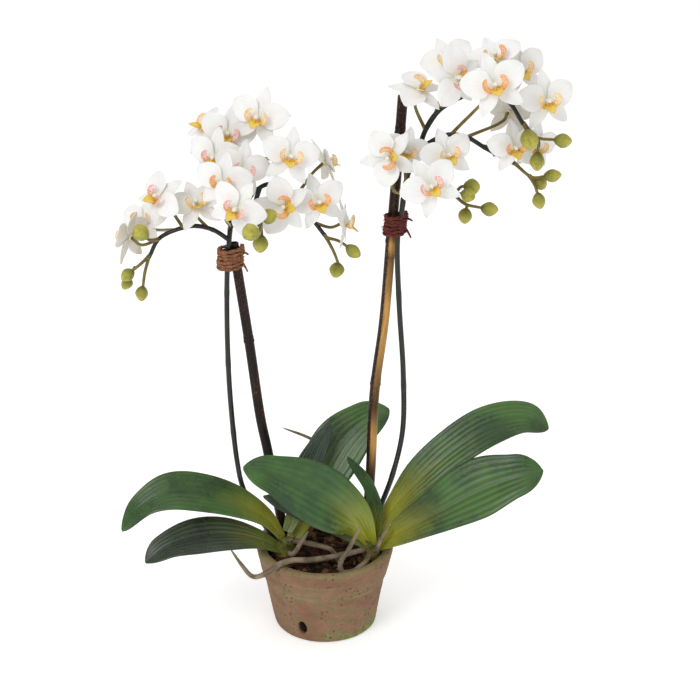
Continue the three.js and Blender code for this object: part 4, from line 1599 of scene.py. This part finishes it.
    def column(self, form: Form) -> None:
        """The column with its hooded cap, the golden callus before it and the knob behind.

        Args:
            form: the piece that they join.
        """
        spine = Route(((0, 0, -1.5), (0, 0.2, 2.0), (0, 0.4, 4.6), (0, -0.3, 6.2)))
        rows = [(0.0, 1.8), (0.3, 1.4), (0.7, 1.7), (0.9, 1.8), (1.0, 1.1)]
        form.tube(spine.spaced(9), lambda t: between(rows, t), sides=10)
        form.ball(Vector((0, 0.3, 5.9)), (1.8, 1.7, 1.2), rings=6)
        form.ball(Vector((0, -0.5, 6.7)), (1.0, 0.9, 0.6), rings=5)
        form.ball(Vector((0, 0, -1.5)), (2.2, 2.2, 1.5), rings=6)
        for sign in (-1, 1):
            form.ball(Vector((0.9 * sign, -3.1, 3.4)), (0.9, 1.0, 1.5), rings=5, slot=1)


@dataclass
class Studio:
    """The camera, the floor and the lights."""

    camera_at: Triple = (0.021, -1.386, 0.870)
    pitch: float = 24.2
    sensor: float = 36.0
    focal: float = sensor * 1905.0 / 700.0
    sky: float = 0.64
    floor_glow: float = 0.33

    def build(self) -> None:
        """Sets up the camera first, then the floor and the lights."""
        data = bpy.data.cameras.new("camera")
        data.lens = self.focal
        data.sensor_width = self.sensor
        camera = bpy.data.objects.new("camera", data)
        camera.location = self.camera_at
        camera.rotation_euler = (math.radians(90 - self.pitch), 0, 0)
        bpy.context.scene.collection.objects.link(camera)
        bpy.context.scene.camera = camera
        self.floor()
        self.light("key", (-0.9, -1.3, 1.7), size=0.9, power=16)
        self.light("fill", (1.3, -0.9, 1.0), size=1.4, power=3)
        self.light("top", (0.1, 0.5, 1.9), size=1.4, power=5)
        world = bpy.data.worlds.new("studio")
        world.use_nodes = True
        backdrop = world.node_tree.nodes["Background"]
        backdrop.inputs["Color"].default_value = (1, 1, 1, 1)
        backdrop.inputs["Strength"].default_value = self.sky
        bpy.context.scene.world = world
        bpy.context.scene.view_settings.view_transform = "Standard"

    def floor(self) -> None:
        """A wide pale floor just below the pot."""
        bm = bmesh.new()
        below = Matrix.Translation((0, 0, -0.0003))
        bmesh.ops.create_grid(bm, x_segments=2, y_segments=2, size=8.0, matrix=below)
        mesh = bpy.data.meshes.new("floor")
        bm.to_mesh(mesh)
        bm.free()
        shader = Shader("pale floor")
        soft = shader.cloud(shader.place(), 6, 2)
        shader.dress(Base_Color=shader.mix(soft, tone(0xF8F8F8), tone(0xFAFAFA)), Roughness=0.9)
        shader.dress(Emission_Color=(1, 1, 1, 1), Emission_Strength=self.floor_glow)
        mesh.materials.append(shader.material)
        floor = bpy.data.objects.new("floor", mesh)
        bpy.context.scene.collection.objects.link(floor)

    def light(self, name: str, at: Triple, size: float, power: float) -> None:
        """A soft square light aimed at the plant.

        Args:
            name: what it is called.
            at: where it hangs, in metres.
            size: how wide it is, in metres.
            power: how strong it is, in watts.
        """
        data = bpy.data.lights.new(name, "AREA")
        data.size = size
        data.energy = power
        lamp = bpy.data.objects.new(name, data)
        lamp.location = at
        lamp.rotation_euler = (Vector((0, 0, 0.25)) - Vector(at)).to_track_quat("-Z", "Y").to_euler()
        bpy.context.scene.collection.objects.link(lamp)


R, A = LipDress.ROSY, LipDress.APRICOT
LEFT_BLOOMS = (
    Bloom("left_01", (-48, -4, 441), (-0.25, -0.9, 0.3), (0.2, 0, 1), 1, 0.2, (-58, 14, 417)),
    Bloom("left_02", (-90, 24, 424), (-0.5, -0.3, 0.8), (0.8, 0, 0.5), 1, 0.6, (-62, 15, 404)),
    Bloom("left_03", (-72, 3, 426), (0, -0.93, 0.3), (0.22, 0, 1), 0.96, 0.3, (-60, 16, 412), None, R),
    Bloom("left_04", (-81, -12, 413), (-0.35, -0.92, 0.1), (0.1, 0, 1), 0.95, 0.2, (-67, 12, 386), None, R),
    Bloom("left_05", (-60, -29, 408), (0.3, -0.9, 0.2), (0.3, 0, 1), 0.96, 0.4, (-65, 13, 392), None, R),
    Bloom(
        "left_06", (-73, -48, 405), (-0.2, -0.95, 0.2), (0.1, 0, 1), 0.95, 0.3,
        (-70, 8, 368), (-73, -33, 382), A,
    ),
    Bloom(
        "left_07", (-62, -69, 392), (-0.3, -0.9, 0.1), (0.5, 0, 0.85), 0.96, 0.2,
        (-72, 1, 352), (-71, -44, 376), R,
    ),
    Bloom(
        "left_08", (-125, -12, 380), (-0.5, -0.65, 0.5), (0.75, 0, 0.6), 0.95, 0.4, (-108, -5, 353), None, R
    ),
    Bloom("left_09", (-97, -8, 373), (0.1, -0.65, 0.7), (-0.25, 0.3, 0.9), 0.95, 0.3, (-88, -3, 351)),
    Bloom("left_10", (-149, -12, 348), (-0.85, 0.45, 0.15), (0.1, 0, 1), 0.95, 0.8, (-127, -6, 344)),
    Bloom("left_11", (-141, 18, 350), (-0.3, -0.5, 0.4), (0, 0.3, 1), 0.9, 0.3, (-114, -5, 351), None, A),
    Bloom(
        "left_12", (-24, -25, 417), (0.2, -0.9, 0.3), (0.25, 0, 1), 0.98, 0.2, (-62, 14, 403), (-44, 4, 406)
    ),
    Bloom("left_13", (2, 10, 401), (0.75, 0.35, 0.3), (-0.2, 0, 1), 0.95, 0.6, (-20, -8, 380)),
    Bloom("left_14", (-30, -34, 381), (0.2, -0.93, 0.2), (-1, 0, 0.15), 0.98, 0.2, (-32, -9, 388), None, A),
    Bloom("left_15", (-3, -18, 379), (0.2, -0.93, 0.2), (-0.25, 0, 1), 0.95, 0.2, (-14, -8, 372), None, A),
    Bloom("left_16", (17, -5, 357), (0.9, -0.1, 0.1), (0, 0.2, 1), 0.92, 0.5, (-6, -8, 358)),
)
RIGHT_BLOOMS = (
    Bloom("right_01", (81, -49, 402), (0.1, -0.93, 0.3), (-0.5, 0, 0.85), 1, 0.3, (73, -11, 391), None, R),
    Bloom("right_02", (94, -24, 418), (0.3, -0.9, 0.3), (-0.25, 0, 1), 0.92, 0.3, (80, -4, 421)),
    Bloom(
        "right_03", (50, -29, 418), (-0.15, -0.93, 0.2), (-0.95, 0, -0.2), 0.96, 0.5,
        (62, -1, 380), (54, -17, 388), A,
    ),
    Bloom("right_04", (63, -15, 418), (0.1, -0.97, 0.2), (0.25, 0, 1), 0.82, 0.3, (64, -1, 389)),
    Bloom("right_05", (72, -8, 464), (0.2, -0.35, 0.9), (-0.9, 0, 0.2), 0.96, 0.3, (78, -4, 431)),
    Bloom("right_06", (99, -30, 480), (0.45, -0.85, 0.2), (-0.9, 0, 0.15), 1, 0.2, (90, -9, 450), None, R),
    Bloom("right_07", (126, -48, 479), (0, -0.93, 0.35), (-0.3, 0, 1), 1.05, 0.1, (98, -8, 430), None, A),
    Bloom("right_08", (129, -7, 488), (-0.1, -0.6, 0.75), (-0.3, 0, 1), 0.95, 0.2, (112, -16, 464), None, A),
    Bloom("right_09", (149, 7, 475), (0.35, -0.85, 0.25), (-0.2, 0, 1), 0.95, 0.3, (124, -18, 466)),
    Bloom("right_10", (167, -20, 459), (0.3, -0.9, 0.2), (-0.1, 0, 1), 1, 0.2, (140, -20, 457)),
    Bloom("right_11", (145, -14, 421), (0.2, -0.95, 0.1), (-0.12, 0, 1), 0.9, 0.2, (120, -8, 420), None, A),
    Bloom("right_12", (142, 14, 440), (0.4, 0.8, 0.1), (0, 0, 1), 0.92, 0.3, (109, -8, 427)),
    Bloom("right_13", (163, 6, 415), (0.35, -0.7, 0), (0.2, 0, 1), 0.85, 0.3, (130, -8, 413)),
    Bloom("right_14", (95, 8, 482), (-0.1, -0.7, 0.6), (-0.4, 0, 1), 0.9, 0.2, (84, -6, 441)),
)

LEFT_SPRAY = Spray(
    side=Side.LEFT,
    stem=(
        (-35, 3, 36), (-38, 3, 64), (-46, 4, 78), (-58, 8, 96), (-68, 10, 118), (-72, 10, 141), (-76, 8, 198),
        (-77, 6, 253), (-75, 0, 319), (-73, 0, 340), (-70, 7, 366), (-65, 13, 392), (-60, 16, 411),
        (-57, 14, 418),
    ),
    branches=(
        ((-73, 0, 341), (-85, -2, 350), (-99, -4, 354), (-114, -5, 351), (-127, -6, 344), (-135, -6, 329)),
        (
            (-72, 1, 350), (-64, -4, 365), (-50, -8, 385), (-40, -9, 390), (-25, -8, 384), (-8, -8, 361),
            (2, -8, 347),
        ),
        ((-48, -8, 386), (-51, -20, 378), (-50, -36, 373), (-47, -46, 370)),
    ),
    twigs=(
        ((-134, -6, 331), (-144, -8, 322), (-150, -9, 318)),
        ((-146, -8, 321), (-153, -4, 312)),
        ((-135, -6, 330), (-139, -6, 316), (-141, -6, 304)),
        ((-127, -6, 344), (-133, -16, 347), (-136, -20, 351)),
        ((1, -8, 349), (8, -8, 335), (12, -5, 323)),
        ((2, -8, 346), (12, -10, 344), (19, -12, 340)),
        ((-46, -43, 371), (-46, -66, 372), (-47, -86, 378)),
        ((-47, -40, 372), (-43, -44, 375)),
        ((-46, -44, 371), (-45, -48, 362)),
    ),
    buds=(
        ((-147, -9, 319), (-157, -11, 312), 10), ((-151, -4, 311), (-157, -1, 300), 9),
        ((-141, -6, 305), (-143, -7, 292), 10), ((-135, -19, 350), (-142, -29, 362), 13),
        ((12, -5, 324), (9, -4, 311), 12), ((18, -12, 341), (29, -13, 332), 10),
        ((-47, -85, 377), (-55, -97, 386), 13), ((-44, -43, 373), (-35, -49, 382), 12),
        ((-45, -47, 363), (-47, -49, 349), 12),
    ),
    blooms=LEFT_BLOOMS,
)
RIGHT_SPRAY = Spray(
    side=Side.RIGHT,
    stem=(
        (36, 3, 36), (37, 2, 64), (39, 0, 86), (46, 1, 104), (56, 5, 132), (64, 8, 171),
        (64, 8, 222), (60, 5, 284), (58, -2, 343), (61, -2, 366), (65, 0, 393), (73, -2, 414),
        (78, -4, 431), (88, -8, 448), (104, -14, 460), (121, -18, 466), (138, -20, 459), (150, -24, 442),
    ),
    branches=(
        ((74, -2, 415), (85, -5, 424), (96, -8, 429), (109, -8, 427), (124, -8, 418), (146, -8, 406)),
        ((61, -1, 378), (70, -10, 391), (86, -18, 394), (101, -22, 385)),
    ),
    twigs=(
        ((149, -23, 444), (153, -28, 437)),
        ((150, -23, 443), (160, -24, 432), (174, -24, 430)),
        ((157, -24, 434), (162, -22, 428), (162, -21, 419)),
        ((145, -8, 407), (160, -8, 395), (169, -9, 396)),
        ((158, -8, 396), (163, -5, 392)),
        ((157, -8, 397), (162, -10, 389), (164, -11, 383)),
        ((100, -22, 386), (105, -19, 391), (109, -17, 391)),
        ((101, -22, 386), (106, -27, 389)),
        ((100, -22, 386), (108, -23, 379), (121, -21, 375)),
        ((110, -23, 378), (109, -24, 374)),
    ),
    buds=(
        ((152, -27, 439), (156, -38, 427), 14), ((173, -24, 430), (187, -24, 429), 11),
        ((162, -21, 420), (162, -20, 404), 11), ((168, -9, 396), (182, -10, 398), 10),
        ((162, -5, 393), (171, -1, 384), 10), ((164, -11, 384), (167, -13, 371), 10),
        ((107, -17, 391), (120, -14, 389), 13), ((105, -27, 390), (115, -33, 387), 11),
        ((120, -21, 375), (134, -20, 373), 11), ((109, -24, 376), (108, -24, 363), 11),
    ),
    blooms=RIGHT_BLOOMS,
)

STAKES = (
    Stake(
        side=Side.LEFT,
        points=(
            (-30, 20, 34), (-34, 18, 64), (-47, 14, 150), (-52, 13, 179), (-60, 9, 252), (-68, 6.5, 317),
            (-70, 6, 336),
        ),
        rings=(0.3, 0.72),
    ),
    Stake(
        side=Side.RIGHT,
        points=(
            (31, 19, 34), (34, 18, 64), (38, 15, 129), (41, 11, 206), (48, 8, 268), (53, 5, 340),
            (59, 6, 424), (61, 6, 455),
        ),
        rings=(0.12, 0.424, 0.723, 0.93),
        scars=((0.56, 0.12), (0.715, 0.02), (0.3, 0.05)),
    ),
)
TIES = (
    Tie(Side.LEFT, (-72.5, 3, 325), lean=5, heading=45, long=12, wide=8.6, height=17.6),
    Tie(Side.RIGHT, (56.2, 1.8, 353.5), lean=6, heading=50, long=11.2, wide=7.8, height=16.8),
)
LEAVES = (
    Leaf("leaf_left_upper", (
        ((-35, -10, 80), 5, (0.5, -0.2, 0.8)), ((-48, -9, 98), 9, (0.5, -0.4, 0.8)),
        ((-70, -10, 113), 13, (0.3, -0.5, 0.8)), ((-97, -16, 125), 15, (0.1, -0.6, 0.8)),
        ((-125, -22, 130), 15, (-0.1, -0.6, 0.8)), ((-146, -28, 122), 11, (-0.4, -0.6, 0.7)),
        ((-164, -34, 101), 0, (-0.7, -0.5, 0.5)),
    )),
    Leaf("leaf_left_lower", (
        ((-36, -14, 72), 5, (0.3, -0.3, 0.8)), ((-54, -19, 84), 9, (0.2, -0.4, 0.9)),
        ((-78, -27, 93), 14, (0.1, -0.5, 0.9)), ((-104, -36, 96), 15, (0, -0.5, 0.9)),
        ((-128, -45, 92), 11, (-0.2, -0.5, 0.8)), ((-144, -52, 82), 0, (-0.4, -0.5, 0.8)),
    ), LEAF_PAINTED_SHADE),
    Leaf("leaf_left_small", (
        ((-31, -9, 86), 4, (0, -0.8, 0.5)), ((-21, 5, 108), 8, (0, -0.9, 0.4)),
        ((-14, 16, 131), 10, (0, -0.9, 0.4)), ((-5, 24, 150), 7, (0, -0.9, 0.4)),
        ((5, 30, 166), 0, (0, -0.9, 0.4)),
    ), LEAF_PAINTED_SHADE),
    Leaf("leaf_left_back", (
        ((-26, -6, 78), 5, (0, -0.6, 0.8)), ((-14, 10, 98), 11, (0, -0.7, 0.7)),
        ((0, 26, 124), 19, (0, -0.8, 0.6)), ((14, 38, 145), 20, (0, -0.8, 0.6)),
        ((33, 47, 160), 15, (0.1, -0.7, 0.7)), ((54, 53, 168), 0, (0.2, -0.6, 0.8)),
    )),
    Leaf("leaf_right_front", (
        ((40, -20, 80), 5, (-0.6, -0.4, 0.7)), ((26, -23, 104), 13, (-0.5, -0.5, 0.7)),
        ((5, -30, 125), 19, (-0.3, -0.6, 0.7)), ((-18, -35, 142), 18, (-0.2, -0.7, 0.7)),
        ((-42, -38, 155), 12, (-0.2, -0.7, 0.7)), ((-64, -38, 161), 0, (-0.1, -0.7, 0.7)),
    ), fullness=1.18),
    Leaf("leaf_right_under", (
        ((36, -14, 76), 5, (-0.3, -0.3, 0.9)), ((18, -10, 88), 8, (-0.3, -0.5, 0.8)),
        ((-4, -10, 100), 9, (-0.3, -0.5, 0.8)), ((-26, -9, 109), 7, (-0.3, -0.5, 0.8)),
        ((-50, -6, 118), 0, (-0.3, -0.5, 0.8)),
    ), LEAF_PAINTED_SHADE),
    Leaf("leaf_right_new", (
        ((42, -16, 84), 4, (-0.6, -0.6, 0.5)), ((43, -12, 108), 6, (-0.6, -0.7, 0.4)),
        ((36, -6, 130), 5, (-0.6, -0.7, 0.3)), ((19, 2, 150), 0, (-0.6, -0.7, 0.4)),
    )),
    Leaf("leaf_right_upper", (
        ((42, -10, 84), 5, (-0.5, -0.5, 0.7)), ((58, -9, 110), 9, (-0.5, -0.6, 0.6)),
        ((78, -7, 135), 14, (-0.4, -0.7, 0.6)), ((105, 1, 158), 15, (-0.2, -0.7, 0.7)),
        ((135, 9, 175), 15, (0, -0.7, 0.7)), ((164, 14, 180), 12, (0.2, -0.7, 0.7)),
        ((184, 18, 168), 0, (0.5, -0.6, 0.6)),
    )),
    Leaf("leaf_right_lower", (
        ((43, -17, 76), 4, (-0.4, -0.5, 0.8)), ((62, -27, 96), 11, (-0.4, -0.6, 0.7)),
        ((92, -32, 118), 17, (-0.3, -0.7, 0.7)), ((126, -34, 140), 22, (-0.2, -0.7, 0.7)),
        ((154, -37, 153), 16, (0, -0.7, 0.7)), ((175, -36, 158), 0, (0.1, -0.7, 0.7)),
    )),
)
CROWNS = (
    Crown(Side.LEFT, (-33, -12, 78), (
        (((-30, -12, 80), (-18, -19, 82), (-5, -21, 80), (6, -22, 76), (14, -24, 60)), (2.3, 2.1, 1.8)),
        (((-31, -15, 70), (-25, -27, 76), (-19, -26, 86), (-13, -21, 94)), (2.3, 2.1, 1.3)),
        ((
            (-32, -8, 74), (-20, 24, 92), (0, 44, 112), (4, 51, 130), (-12, 51, 142), (-36, 50, 153),
        ), (2.3, 2, 1.1)),
    )),
    Crown(Side.RIGHT, (38.5, -13, 79), (
        ((
            (36, -15, 74), (22, -26, 76), (3, -32, 75), (-13, -36, 75), (-26, -38, 76), (-37, -44, 75.5),
            (-48, -46, 68), (-59, -40, 62), (-68, -36, 71), (-77, -34, 85),
        ), (2.4, 2.4, 2.3, 1.3)),
        ((
            (38, -16, 70), (33, -32, 70), (24, -38, 66), (15, -40, 66), (13, -39, 73), (20, -37, 86),
            (31, -32, 107),
        ), (2.3, 2.2, 1.3)),
        (((40, -16, 72), (43, -26, 80), (46, -29, 90), (54, -28, 103)), (2.1, 2, 1.2)),
    )),
)


def main() -> None:
    """Builds the studio and every piece."""
    logging.basicConfig(level=logging.INFO, format="%(name)s %(message)s")
    Studio().build()
    for part in (Pot(), PottingMix(), *STAKES, *TIES, *CROWNS, *LEAVES, LEFT_SPRAY, RIGHT_SPRAY):
        part.build()
    for bloom in (*LEFT_BLOOMS, *RIGHT_BLOOMS):
        bloom.build()
    bpy.context.view_layer.update()


if __name__ == "__main__":
    main()
